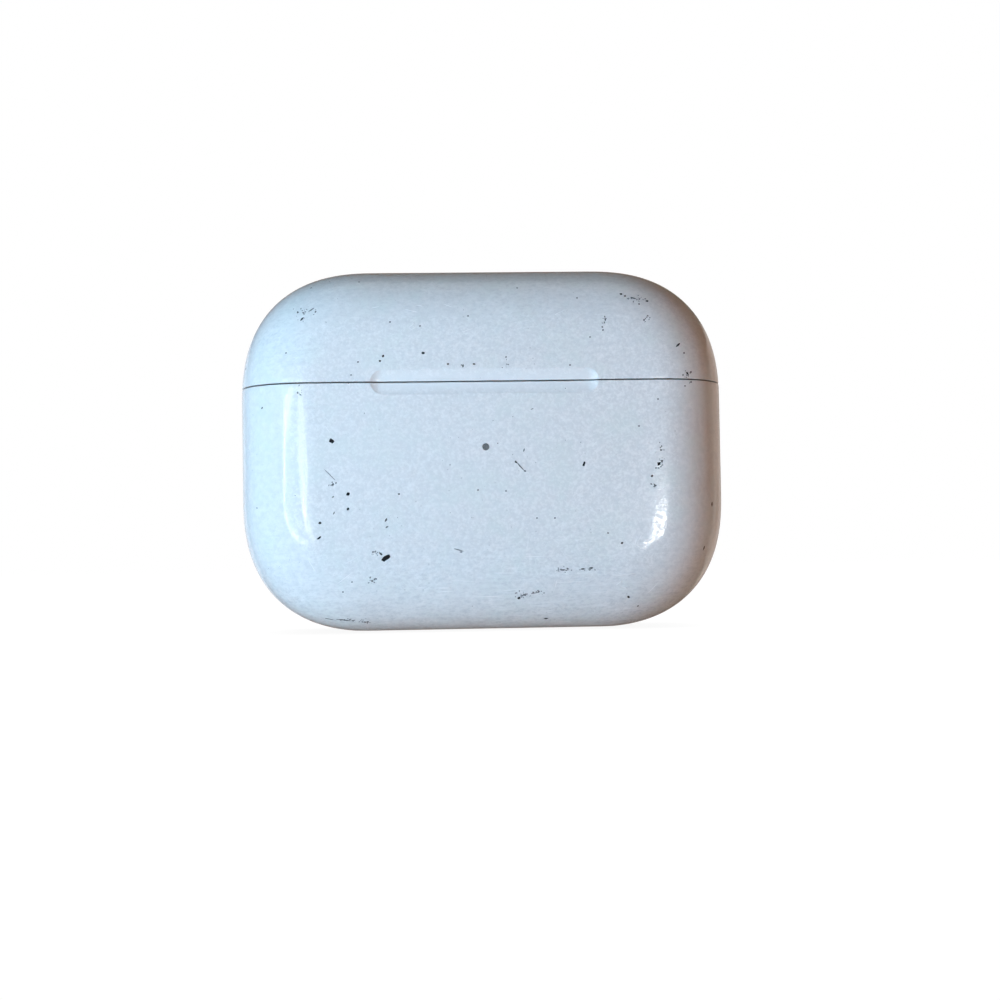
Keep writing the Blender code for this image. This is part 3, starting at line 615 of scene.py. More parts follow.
caseForm = {
    "cornerReach": 16.8, "cornerPower": 2.43, "cornerSteps": 40,  # a corner's curve, seen from the front
    "edgeReach": 9.85, "edgePower": 2.3, "edgeSteps": 34,  # the roll from the front face round to the side
    "endSteps": 18, "sideSteps": 10, "cutSteps": 6, "backSteps": 24, "searchSteps": 50,
    "footTrim": 0.1, "wall": 1.5, "cutReach": 4,  # how far a cutter runs into the wall and out of it
    "seamHeight": 30.5, "seamGap": 0.16, "lip": 0.08, "lipSteps": 4,
    "rearLip": 0.62, "rearLipFrom": 6.5, "rearLipTo": 9.6,  # the lid's rear lip makes room for its swing
}
scoopForm = {
    "length": 28.0, "height": 3.1, "depth": 0.45, "rimSoftness": 0.04,
    "ringSteps": 16, "arcSteps": 14, "runSteps": 30,
}
formCentre = (caseHeight - caseForm["footTrim"]) / 2


def softForm(inset):
    return {
        "halfWidth": caseWidth / 2 - inset,
        "halfHeight": (caseHeight + caseForm["footTrim"]) / 2 - inset,
        "halfDepth": caseDepth / 2 - inset,
        "cornerReach": caseForm["cornerReach"] - inset,
        "edgeReach": caseForm["edgeReach"] - inset,
    }


def cornerSpot(form, angle, sunk):  # a point of the upper right corner, sunk below the outline
    power = 2 / caseForm["cornerPower"]
    across, up = max(math.cos(angle), 0.0), max(math.sin(angle), 0.0)
    x = form["halfWidth"] - form["cornerReach"] * (1 - across ** power)
    z = form["halfHeight"] - form["cornerReach"] * (1 - up ** power)
    normal = Vector((across ** (2 - power), up ** (2 - power))).normalized()
    return x - normal.x * sunk, z - normal.y * sunk


def cutAngle(form, sunk, cut):  # where a corner's curve comes to the height of a cut
    low, high = 0.0, math.pi / 2
    for _ in range(caseForm["searchSteps"]):
        middle = (low + high) / 2
        if cornerSpot(form, middle, sunk)[1] < cut:
            low = middle
        else:
            high = middle
    return low


def halfPath(form, sunk, cut, upper):  # from the middle of the far end round to the cut, on the right
    run = form["halfWidth"] - form["cornerReach"]
    straight = form["halfHeight"] - form["cornerReach"]
    end = 1 if upper else -1
    level = end * (form["halfHeight"] - sunk)
    path = [(run * i / caseForm["endSteps"], level) for i in range(caseForm["endSteps"])]
    last = cutAngle(form, sunk, cut)
    stop = last if upper else 0.0
    for i in range(caseForm["cornerSteps"] + 1):
        angle = math.pi / 2 + (stop - math.pi / 2) * i / caseForm["cornerSteps"]
        x, z = cornerSpot(form, angle, sunk)
        path.append((x, end * z))
    if not upper:
        side = form["halfWidth"] - sunk
        steps = caseForm["sideSteps"]
        path += [(side, straight * (2 * i / steps - 1)) for i in range(1, steps)]
        steps = caseForm["cutSteps"]
        path += [cornerSpot(form, last * i / steps, sunk) for i in range(steps + 1)]
    return path


def edgeRows(form):  # (how far sunk, y) of each row, from the front face to the back face
    power = 2 / caseForm["edgePower"]
    rows = []
    for i in range(caseForm["edgeSteps"] + 1):
        angle = math.pi / 2 * (1 - i / caseForm["edgeSteps"])
        sunk = form["edgeReach"] * (1 - max(math.cos(angle), 0.0) ** power)
        y = form["halfDepth"] - form["edgeReach"] * (1 - math.sin(angle) ** power)
        rows.append((sunk, -y))
    return rows + [(sunk, -y) for sunk, y in reversed(rows)]


def lipAt(y, upper):
    if not upper:
        return caseForm["lip"]
    share = (y - caseForm["rearLipFrom"]) / (caseForm["rearLipTo"] - caseForm["rearLipFrom"])
    share = min(max(share, 0.0), 1.0)
    return caseForm["lip"] + (caseForm["rearLip"] - caseForm["lip"]) * share * share * (3 - 2 * share)


def rimHeight(upper):
    return caseForm["seamHeight"] + (caseForm["seamGap"] / 2 if upper else -caseForm["seamGap"] / 2)


def cutHeight(y, upper):  # where the outer face ends and the lip begins
    return rimHeight(upper) + (lipAt(y, upper) if upper else -lipAt(y, upper))


def formGrid(shape, form, upper, withLip):
    grid = []
    for sunk, y in edgeRows(form):
        cut = cutHeight(y, upper) if withLip else rimHeight(upper)
        half = halfPath(form, sunk, cut - formCentre, upper)
        path = [(-x, z) for x, z in reversed(half)] + half[1:]
        grid.append([shape.verts.new((x, y, max(z + formCentre, 0.0))) for x, z in path])
    joinRows(shape, grid, around=False)
    return grid


def scoopRadius():  # of the arc across the finger scoop
    half, depth = scoopForm["height"] / 2, scoopForm["depth"]
    return (half * half + depth * depth) / (2 * depth)


def scoopSink(reach):  # depth of the finger scoop at a distance from its middle line
    radius, soft = scoopRadius(), scoopForm["rimSoftness"]
    raw = math.sqrt(max(radius * radius - reach * reach, 0.0)) - (radius - scoopForm["depth"])
    ease = max(soft - abs(raw), 0.0) / soft
    return max(raw, 0.0) + ease * ease * soft / 4


def scoopReach():  # where the scoop's soft rim has run out into the flat face
    radius = scoopRadius()
    return math.sqrt(radius ** 2 - (radius - scoopForm["depth"] - scoopForm["rimSoftness"]) ** 2)


def scoopRings(shape, front, upper):  # half of a round-ended dish, on one side of the seam
    level = abs(cutHeight(front, upper) - caseForm["seamHeight"])
    way = 1 if upper else -1
    run = (scoopForm["length"] - scoopForm["height"]) / 2
    steps = scoopForm["runSteps"]
    rings = []
    for k in range(scoopForm["ringSteps"] + 1):
        reach = level + (scoopReach() - level) * k / scoopForm["ringSteps"]
        start = math.degrees(math.asin(min(level / reach, 1.0)))
        end = arc((run, 0), reach, 90, start, scoopForm["arcSteps"])
        straight = [(run * (2 * i / steps - 1), reach) for i in range(1, steps)]
        path = [(-x, z) for x, z in reversed(end)] + straight + end
        y = front + scoopSink(reach)
        rings.append([shape.verts.new((x, y, caseForm["seamHeight"] + way * z)) for x, z in path])
    joinRows(shape, rings, around=False)
    return rings


def levelLine(shape, start, end, shares):  # points on a straight line between two corners of a loop
    return [shape.verts.new(start.co.lerp(end.co, share)) for share in shares]


def rimLoop(grid, front, back):  # once round the open end of a form
    right = [row[-1] for row in grid]
    left = [row[0] for row in reversed(grid[1:])]
    return [grid[0][0]] + front + right + back + left


def outwardNormals(points):  # level normals of a loop that runs anticlockwise, seen from above
    normals = []
    for i in range(len(points)):
        along = points[(i + 1) % len(points)] - points[i - 1]
        normals.append(Vector((along.y, -along.x, 0)).normalized())
    return normals


def buildMoulding(name, upper):
    shape = bmesh.new()
    outer = formGrid(shape, softForm(0), upper, True)
    inner = formGrid(shape, softForm(caseForm["wall"]), upper, False)
    backShares = [i / caseForm["backSteps"] for i in range(1, caseForm["backSteps"])]
    rings = scoopRings(shape, -caseDepth / 2, upper)
    frontLine = [ring[0] for ring in reversed(rings)] + rings[0][1:-1] + [ring[-1] for ring in rings]
    width = outer[0][-1].co.x
    frontShares = [(vert.co.x / width + 1) / 2 for vert in frontLine]
    backLine = levelLine(shape, outer[-1][-1], outer[-1][0], backShares)
    shape.faces.new(outer[0] + list(reversed(rings[-1])))
    shape.faces.new(outer[-1] + backLine)
    innerFront = levelLine(shape, inner[0][0], inner[0][-1], frontShares)
    innerBack = levelLine(shape, inner[-1][-1], inner[-1][0], backShares)
    shape.faces.new(inner[0] + list(reversed(innerFront)))
    shape.faces.new(inner[-1] + innerBack)
    loops = [rimLoop(outer, frontLine, backLine)]
    normals = outwardNormals([vert.co for vert in loops[0]])
    way = -1 if upper else 1
    for k in range(1, caseForm["lipSteps"] + 1):
        turn = math.pi / 2 * k / caseForm["lipSteps"]
        current = []
        for vert, normal in zip(loops[0], normals):
            lip = lipAt(vert.co.y, upper)
            rise = Vector((0, 0, way * lip * math.sin(turn)))
            current.append(shape.verts.new(vert.co - normal * lip * (1 - math.cos(turn)) + rise))
        loops.append(current)
    joinRows(shape, loops + [rimLoop(inner, innerFront, innerBack)])
    return freshObject(name, shape)


hingeForm = {
    "notchHalf": 12.5, "notchFront": 7.95, "baseFloor": 29.15, "lidRoof": 34.2,
    "notchCorner": 0.3, "notchSteps": 4,
    "axisY": 9.65, "axisZ": 32.7, "barrel": 1.15, "barrelSteps": 40, "bore": 0.56, "boreSteps": 48,
    "pin": 0.5, "pinShort": 0.05, "pinChamfer": 0.1, "pinSteps": 64,
    "blockHalf": 9.5, "earGap": 0.3, "earWidth": 2.4, "earFrom": -170, "earTo": 100, "backFace": 10.7,
    "shelfFoot": 29.45, "shelfInset": 0.25, "tuck": 0.02,  # joined faces stay this far apart
    "leafFront": 8.5, "leafBack": 9.05, "leafFoot": 26.9,
    "plateFront": 7.2, "plateBack": 8.1, "plateFoot": 34.9, "plateLap": 0.5, "plateTop": 39.0,
    "clearance": 2, "soften": 0.07,
}
buttonForm = {
    "radius": 3.7, "hole": 4.0, "holeRound": 0.2, "dish": 0.12, "dishSteps": 8, "rimRound": 0.16,
    "rimTurn": 80, "flange": 4.6, "flangeTop": 1.8, "flangeFoot": 2.5, "stem": 1.2, "stemFoot": 3.9,
    "steps": 128,
}
lightForm = {
    "height": 22.42, "hole": 0.43, "holeRound": 0.03, "radius": 0.4, "sunk": 0.05, "dome": 0.03,
    "domeSteps": 6, "flange": 1.0, "reach": 1.85, "back": 2.35, "steps": 64,
}
socketForm = {
    "holeWidth": 11.1, "holeHeight": 5.3, "holeRound": 0.22,
    "trimWidth": 10.5, "trimHeight": 4.7, "trimWall": 0.45, "trimFoot": 0.05, "trimTop": 1.4,
    "trimRound": 0.12, "trimSteps": 5,
    "width": 8.4, "height": 2.6, "wall": 0.3, "foot": 0.3, "top": 6.9, "canTop": 7.2,
    "lipRound": 0.1, "lipSteps": 4,
    "tongueWidth": 6.7, "tongueHeight": 0.7, "tongueFoot": 1.2, "tongueLap": 0.6, "tongueRound": 0.12,
    "tongueSteps": 3, "tongueSoften": 0.05, "rootFoot": 5.6, "rootTop": 6.8, "rootGap": 0.3,
    "fingers": 12, "fingerPitch": 0.5, "fingerWidth": 0.26, "fingerLength": 3.0, "fingerThick": 0.05,
    "fingerStart": 0.4, "fingerRise": 0.2,  # how much of its thickness a finger's middle stands out
}


def hingeNotch(low, high):
    form = hingeForm
    notch = box((-form["notchHalf"], form["notchFront"], low), (form["notchHalf"], caseDepth, high))
    lengthwise = [edge for edge in notch.edges
                  if abs(edge.verts[0].co.y - edge.verts[1].co.y) > form["notchCorner"]]
    bevelEdges(notch, lengthwise, form["notchCorner"], form["notchSteps"])
    return notch


def flaredHole(form, depth):  # a round cutter whose mouth at height 0 is rounded off
    radius, flare = form["hole"], form["holeRound"]
    profile = [(0, -depth), (radius, -depth)]
    profile += arc((radius + flare, -flare), flare, 180, 90, mouthSteps)
    profile += [(radius + flare, depth), (0, depth)]
    return turned(profile, form["steps"])


def flaredSlot(form, depth):  # the same for a round-ended slot, opening downwards
    flare = form["holeRound"]
    profile = [(0, depth)] + arc((flare, flare), flare, 180, 270, mouthSteps) + [(flare, -depth)]
    return skin(pillRings(form["holeWidth"], form["holeHeight"], profile))


def buildShells():
    depth = caseForm["cutReach"]
    base = buildMoulding("base_moulding", False)
    buttonHole = moved(flaredHole(buttonForm, depth), (0, caseDepth / 2, buttonHeight), facingBack)
    lightHole = moved(flaredHole(lightForm, depth), (0, -caseDepth / 2, lightForm["height"]), facingFront)
    notch = hingeNotch(hingeForm["baseFloor"], hingeForm["axisZ"])
    carve(base, "DIFFERENCE", buttonHole, lightHole, flaredSlot(socketForm, depth), notch)
    lid = buildMoulding("lid_moulding", True)
    carve(lid, "DIFFERENCE", hingeNotch(hingeForm["baseFloor"], hingeForm["lidRoof"]))
    dress(base, "shell_white", "base", "base_shell")
    dress(lid, "shell_white", "lid", "lid_shell")
    return base, lid


baseMoulding, lidMoulding = buildShells()
print("shells made:", len(baseMoulding.data.polygons), "and", len(lidMoulding.data.polygons), "faces")


# the tray with its two wells, and the lid's liner with its two pockets

wellForm = {
    "x": 14.3, "stemX": 13.5, "stemY": -1.0, "stemRadius": 3.6, "stemEase": 1.2, "wall": 0.8,
    "halfWidth": 10.2, "halfDepth": 6.6, "power": 2.3, "height": 9.6, "deck": 1.2, "foot": 6.0,
    "mouthRound": 0.5, "flareSteps": 26, "inset": 1.8, "edgeRound": 0.2, "edgeSteps": 4,
}
pocketForm = {
    "halfDepth": 6.2, "height": 10.2, "mouthRound": 0.4, "riseSteps": 22, "lastTurn": 82, "shrinkPower": 0.75,
    "notchFront": 6.9, "insideFrom": 1.2, "outsideFrom": 0.1,  # where the domes take over from mouth and deck
}
trayTop = nodeBox("inner_tray")[1].z
linerFoot = nodeBox("lid_liner")[0].z


def deckLoop(level, notchFront):  # a deck's outline, with the hinge notch taken out of its back
    form = softForm(wellForm["inset"])
    right = []
    for sunk, y in edgeRows(form):
        angle = cutAngle(form, sunk, level - formCentre)
        right.append((cornerSpot(form, angle, sunk)[0], y))
    half = hingeForm["notchHalf"]
    right += [(half, right[-1][1]), (half, notchFront)]
    return right + [(-x, y) for x, y in reversed(right)]


def deckFace(shape, loops):  # a flat face with holes
    edges = []
    for loop in loops:
        for i, vert in enumerate(loop):
            pair = (vert, loop[(i + 1) % len(loop)])
            edges.append(shape.edges.get(pair) or shape.edges.new(pair))
    bmesh.ops.triangle_fill(shape, use_beauty=True, use_dissolve=False, edges=edges, normal=(0, 0, 1))


def wellRing(level, grow=0.0):  # one ring of the right well
    form = wellForm
    share = (level - (trayTop - form["height"])) / form["height"]
    opened = math.sin(min(max(share, 0.0), 1.0) * math.pi / 2)
    centre = Vector((form["stemX"], form["stemY"])).lerp(Vector((form["x"], 0)), opened)
    halfX = form["stemRadius"] + (form["halfWidth"] - form["stemRadius"]) * opened
    halfY = form["stemRadius"] + (form["halfDepth"] - form["stemRadius"]) * opened
    power = 2 + (form["power"] - 2) * max(share, 0.0)
    return ovalRing(centre, halfX + grow, halfY + grow, level, power)


def pocketRing(turn, grow=0.0):  # one ring of the right pocket, by its angle up the dome
    shrink = math.cos(math.radians(turn)) ** pocketForm["shrinkPower"]
    level = linerFoot + pocketForm["height"] * math.sin(math.radians(turn))
    return ovalRing((wellForm["x"], 0), wellForm["halfWidth"] * shrink + grow,
                    pocketForm["halfDepth"] * shrink + grow, level + grow, wellForm["power"])


def mouthRings(ring, level, rounding, way):  # a rounded mouth from the deck's face into a hole
    centre = sum((Vector(point) for point in ring), Vector()) / len(ring)
    rings = []
    for grow, rise in arc((rounding, 0), rounding, 90, 180, mouthSteps):
        loop = []
        for x, y, _ in ring:
            out = Vector((x - centre.x, y - centre.y, 0)).normalized() * grow
            loop.append((x + out.x, y + out.y, level - way * (rounding - rise)))
        rings.append(loop)
    return rings


def placeRings(shape, rings, side):
    loops = [[shape.verts.new((x * side, y, z)) for x, y, z in ring] for ring in rings]
    joinRows(shape, loops)
    return loops[0], loops[-1]


def deckWall(shape, outline, face, under):  # the deck's edge, rounded at its visible face
    way = 1 if face > under else -1
    rounding = wellForm["edgeRound"]
    normals = outwardNormals([Vector((x, y, 0)) for x, y in outline])
    loops = []
    for inward, rise in arc((rounding, 0), rounding, 90, 180, wellForm["edgeSteps"]):
        level = face - way * (rounding - rise)
        loops.append([shape.verts.new((x - normal.x * inward, y - normal.y * inward, level))
                      for (x, y), normal in zip(outline, normals)])
    loops.append([shape.verts.new((x, y, under)) for x, y in outline])
    joinRows(shape, loops)
    return loops[0], loops[-1]


def wellRings():  # down the inside of the right well and up its outside
    form = wellForm
    lowest = trayTop - form["height"]
    below = [lowest - form["stemEase"], form["foot"]]
    steps = form["flareSteps"]
    rounding = form["mouthRound"]
    falling = [trayTop - rounding - (form["height"] - rounding) * i / steps for i in range(1, steps + 1)]
    rising = [lowest + (trayTop - form["deck"] - lowest) * i / steps for i in range(1, steps + 1)]
    rings = mouthRings(wellRing(trayTop), trayTop, rounding, 1)
    rings += [wellRing(level) for level in falling + below]
    return rings + [wellRing(level, form["wall"]) for level in below[::-1] + [lowest] + rising]


def buildTray():
    shape = bmesh.new()
    outline = deckLoop(trayTop, hingeForm["notchFront"])
    top, bottom = deckWall(shape, outline, trayTop, trayTop - wellForm["deck"])
    faceLoops, underLoops = [top], [bottom]
    for side in sides.values():
        mouth, last = placeRings(shape, wellRings(), side)
        faceLoops.append(mouth)
        underLoops.append(last)
    deckFace(shape, faceLoops)
    deckFace(shape, underLoops)
    return dress(freshObject("tray_moulding", shape), "liner_white", "base", "inner_tray")


def buildLiner():
    form = pocketForm
    shape = bmesh.new()
    above = linerFoot + wellForm["deck"]
    bottom, top = deckWall(shape, deckLoop(above, form["notchFront"]), linerFoot, above)
    faceLoops, backLoops = [bottom], [top]
    turns = [form["lastTurn"] * i / form["riseSteps"] for i in range(form["riseSteps"] + 1)]
    inner = mouthRings(pocketRing(0), linerFoot, form["mouthRound"], -1)
    inner += [pocketRing(turn) for turn in turns
              if form["height"] * math.sin(math.radians(turn)) > form["mouthRound"] * form["insideFrom"]]
    outer = [[(x, y, above) for x, y, _ in pocketRing(0, wellForm["wall"])]]
    outer += [ring for ring in (pocketRing(turn, wellForm["wall"]) for turn in turns)
              if ring[0][2] > above + form["outsideFrom"]]
    for side in sides.values():
        for rings, loops in ((inner, faceLoops), (outer, backLoops)):
            mouth, crown = placeRings(shape, rings, side)
            shape.faces.new(crown)
            loops.append(mouth)
    deckFace(shape, faceLoops)
    deckFace(shape, backLoops)
    return dress(freshObject("liner_moulding", shape), "liner_white", "lid", "lid_liner")


buildTray()
buildLiner()
print("tray and liner made")


# the steel hinge: a block and pin on the base, a bracket with two ears on the lid

def barrelArc(start, end):
    centre = (hingeForm["axisY"], hingeForm["axisZ"])
    return arc(centre, hingeForm["barrel"], start, end, hingeForm["barrelSteps"])


def onAxis(shape):  # a turned shape laid along the hinge's axis
    return moved(shape, (0, hingeForm["axisY"], hingeForm["axisZ"]), facingRight)


def buildHinge():
    form = hingeForm
    gap = form["blockHalf"] + form["earGap"]
    reach = gap + form["earWidth"]
    tuck = form["tuck"]
    lean = math.degrees(math.acos((form["backFace"] - form["axisY"]) / form["barrel"]))
    section = barrelArc(-lean, 180)
    section += [(form["leafFront"], form["leafFoot"]), (form["leafBack"], form["leafFoot"]),
                (form["leafBack"], form["shelfFoot"]), (form["backFace"], form["shelfFoot"])]
    block = freshObject("hinge_barrel", prism(section, -form["blockHalf"], form["blockHalf"]))
    shelf = box((-reach, form["leafFront"] + form["shelfInset"], form["shelfFoot"] + tuck),
                (reach, form["backFace"] - tuck, form["axisZ"] - form["barrel"] - form["earGap"]))
    carve(block, "UNION", shelf)
    carve(block, "DIFFERENCE", onAxis(plug(form["bore"], 2 * reach, form["boreSteps"])))
    dress(soften(block, form["soften"]), "hinge_steel", "base", "hinge_block")

    arm = barrelArc(form["earFrom"], form["earTo"])
    arm += [(form["plateBack"], form["plateFoot"]), (form["plateBack"], form["plateTop"]),
            (form["plateFront"], form["plateTop"]),
            (form["plateFront"], form["plateFoot"] - form["plateLap"])]
    bracket = freshObject("hinge_ears", prism(arm, -reach, reach))
    behind = box((-gap, form["plateBack"] + tuck, form["baseFloor"]),
                 (gap, caseDepth, form["plateTop"] + form["clearance"]))
    below = box((-gap, form["plateFront"] - form["clearance"], form["baseFloor"]),
                (gap, caseDepth, form["plateFoot"]))
    bore = onAxis(plug(form["bore"], 2 * reach, form["boreSteps"]))
    carve(bracket, "DIFFERENCE", behind, below, bore)
    dress(soften(bracket, form["soften"]), "hinge_steel", "lid", "lid_hinge_bracket")

    half, radius, chamfer = reach - form["pinShort"], form["pin"], form["pinChamfer"]
    profile = [(0, half), (radius - chamfer, half), (radius, half - chamfer),
               (radius, chamfer - half), (radius - chamfer, -half), (0, -half)]
    rod = onAxis(turned(profile, form["pinSteps"]))
    dress(freshObject("hinge_rod", rod), "hinge_steel", "base", "hinge_pin")


buildHinge()
print("hinge made")


# small turned pieces: pairing button, status light, charging contacts

def buildButton():
    form = buttonForm
    rim, steps = form["radius"] - form["rimRound"], form["dishSteps"]
    profile = [(rim / steps * i, -form["dish"] * (1 - (i / steps) ** 2)) for i in range(steps + 1)]
    profile += arc((rim, -form["rimRound"]), form["rimRound"], form["rimTurn"], 0, mouthSteps)
    profile += [(form["radius"], -form["flangeTop"]), (form["flange"], -form["flangeTop"]),
                (form["flange"], -form["flangeFoot"]), (form["stem"], -form["flangeFoot"]),
                (form["stem"], -form["stemFoot"]), (0, -form["stemFoot"])]
    cap = moved(turned(profile, form["steps"]), (0, caseDepth / 2, buttonHeight), facingBack)
    dress(freshObject("button_cap", cap), "shell_white", "button", "pairing_button")


def buildLight():
    form = lightForm
    steps = form["domeSteps"]
    profile = []
    for i in range(steps + 1):
        rise = form["dome"] * (1 - (i / steps) ** 2)
        profile.append((form["radius"] * i / steps, -form["sunk"] + rise - form["dome"]))
    profile += [(form["radius"], -form["reach"]), (form["flange"], -form["reach"]),
                (form["flange"], -form["back"]), (0, -form["back"])]
    window = moved(turned(profile, form["steps"]), (0, -caseDepth / 2, form["height"]), facingFront)
    dress(freshObject("light_window", window), "lens_grey", "base", "light_lens")


contactForm = {
    "radius": 0.45, "steps": 48, "rounding": 0.14, "roundSteps": 5,
    "hole": 0.55, "holeReach": 20, "holeSteps": 40,
    "carrierRound": 0.25, "carrierGap": 0.3, "carrierSteps": 64,
}


def buildContacts():
    form = contactForm
    for label in sides:
        low, high = nodeBox("contact_carrier_" + label)
        centre = (low + high) / 2
        wide = (high.x - low.x) / 2
        narrow = wellForm["stemRadius"] - form["carrierGap"]
        flangeTop = wellForm["foot"] - form["carrierGap"]
        profile = roundedTop(narrow, high.z, form["carrierRound"], form["roundSteps"])
        profile += [(narrow, flangeTop), (wide, flangeTop), (wide, low.z), (0, low.z)]
        cup = moved(turned(profile, form["carrierSteps"]), (centre.x, centre.y, 0))
        carrier = freshObject("carrier_cup_" + label, cup)
        for place in ("front", "rear"):
            name = "contact_" + label + "_" + place
            low, high = nodeBox(name)
            spot = (low + high) / 2
            spot.z = 0
            hole = plug(form["hole"], form["holeReach"], form["holeSteps"])
            carve(carrier, "DIFFERENCE", moved(hole, spot))
            profile = roundedTop(form["radius"], high.z, form["rounding"], form["roundSteps"])
            profile += [(form["radius"], low.z), (0, low.z)]
            pin = freshObject("pin_" + label + "_" + place, moved(turned(profile, form["steps"]), spot))
            dress(pin, "contact_gold", "base", name)
        dress(carrier, "black_plastic", "base", "contact_carrier_" + label)


buildButton()
buildLight()
buildContacts()
print("button, light and contacts made")


# the charging socket under the case

def buildSocketFingers(foot):  # gold strips in a row on both faces of the tongue
    kinds = {"Count": "Int", "Pitch": "Float", "Rise": "Float", "Size": "Vector", "Foot": "Float",
             "Finish": "Material"}
    tree, sockets, given = startTree("tongue fingers", kinds)
    start = Wire(tree)
    strip = start.node("GeometryNodeMeshCube", None, {"Size": given["Size"]})
    span = (given["Count"] - 1) * given["Pitch"]
    rows = []
    for way in (-1, 1):
        first = {"X": span * -0.5, "Y": given["Rise"] * way, "Z": given["Foot"]}
        rows.append(start.node("GeometryNodeMeshLine", {"mode": "OFFSET"}, {
            "Count": given["Count"], "Start Location": start.node("ShaderNodeCombineXYZ", None, first),
            "Offset": start.node("ShaderNodeCombineXYZ", None, {"X": given["Pitch"]})}))
    points = joinParts(tree, rows)
    strips = start.node("GeometryNodeInstanceOnPoints", None, {"Points": points, "Instance": strip})
    endTree(tree, strips, given["Finish"])

    form = socketForm
    made = linkObject("socket_fingers", bpy.data.meshes.new("socket_fingers"))
    growTree(made, tree, sockets, {
        "Count": form["fingers"], "Pitch": form["fingerPitch"] * mm,
        "Rise": (form["tongueHeight"] / 2 + form["fingerRise"] * form["fingerThick"]) * mm,
        "Size": (form["fingerWidth"] * mm, form["fingerThick"] * mm, form["fingerLength"] * mm),
        "Foot": foot * mm, "Finish": finishes["contact_gold"],
    })
    return dress(made, "contact_gold", "base")


def lipProfile(top, innerTop, foot, wall, rounding, steps):  # down outside, round the lip and up inside
    outer = arc((-rounding, foot + rounding), rounding, 0, -90, steps)
    inner = arc((rounding - wall, foot + rounding), rounding, -90, -180, steps)
    return [(0, top)] + outer + inner + [(-wall, innerTop)]


def buildSocket():
    form = socketForm
    top, foot, wall = form["trimTop"], form["trimFoot"], form["trimWall"]
    profile = lipProfile(top, top, foot, wall, form["trimRound"], form["trimSteps"])
    ring = skin(pillRings(form["trimWidth"], form["trimHeight"], profile), closed=True)
    dress(freshObject("socket_ring", ring), "socket_steel", "base", "socket_trim")

    wall = form["wall"]
    profile = lipProfile(form["canTop"], form["top"], form["foot"], wall, form["lipRound"], form["lipSteps"])
    can = skin(pillRings(form["width"] + 2 * wall, form["height"] + 2 * wall, profile))
    dress(freshObject("socket_can", can), "socket_steel", "base", "socket_shell")

    profile = [(-form["rootGap"], form["rootFoot"]), (-form["rootGap"], form["rootTop"])]
    tongue = freshObject("socket_blade", skin(pillRings(form["width"], form["height"], profile)))
    half, thick = form["tongueWidth"] / 2, form["tongueHeight"] / 2
    blade = box((-half, -thick, form["tongueFoot"]), (half, thick, form["rootFoot"] + form["tongueLap"]))
    bevelEdges(blade, blade.edges[:], form["tongueRound"], form["tongueSteps"])
    carve(tongue, "UNION", blade)
    dress(soften(tongue, form["tongueSoften"]), "black_plastic", "base", "socket_tongue")
    buildSocketFingers(form["tongueFoot"] + form["fingerStart"] + form["fingerLength"] / 2)


buildSocket()
print("socket made")


# the camera, where the photograph was taken from

photoCamera = {
    "place": (-10.39, -230.0, 8.08), "yaw": 0.0547, "pitch": 0.0356, "roll": 0.0168,
    "focalPixels": 1801.0, "imageSide": 1000, "sensor": 36.0, "nearest": 5,
}
cameraPlace = Vector(photoCamera["place"]) * mm


def cameraAxes():
    yaw, pitch, roll = (photoCamera[turn] for turn in ("yaw", "pitch", "roll"))
    level = Vector((math.sin(yaw), math.cos(yaw), 0))
    across = Vector((math.cos(yaw), -math.sin(yaw), 0))
    up = Vector((0, 0, 1))
    forward = level * math.cos(pitch) + up * math.sin(pitch)
    lifted = up * math.cos(pitch) - level * math.sin(pitch)
    right = across * math.cos(roll) - lifted * math.sin(roll)
    above = across * math.sin(roll) + lifted * math.cos(roll)
    return right, above, forward


def pixelRay(x, y):  # from the camera through a pixel of the photograph
    right, above, forward = cameraAxes()
    middle, focal = photoCamera["imageSide"] / 2, photoCamera["focalPixels"]
    return (forward + right * (x - middle) / focal + above * (middle - y) / focal).normalized()


def setCamera():
    data = bpy.data.cameras.new("photo camera")
    data.sensor_width = photoCamera["sensor"]
    data.lens = photoCamera["focalPixels"] * photoCamera["sensor"] / photoCamera["imageSide"]
    data.clip_start = photoCamera["nearest"] * mm
    right, above, forward = cameraAxes()
    camera = linkObject("photo camera", data)
    turn = Matrix((right, above, -forward)).transposed().to_4x4()
    camera.matrix_world = Matrix.Translation(cameraPlace) @ turn
    bpy.context.scene.camera = camera


setCamera()
print("camera set")


# grime: dark flecks where the photograph has them, and finer ones all round

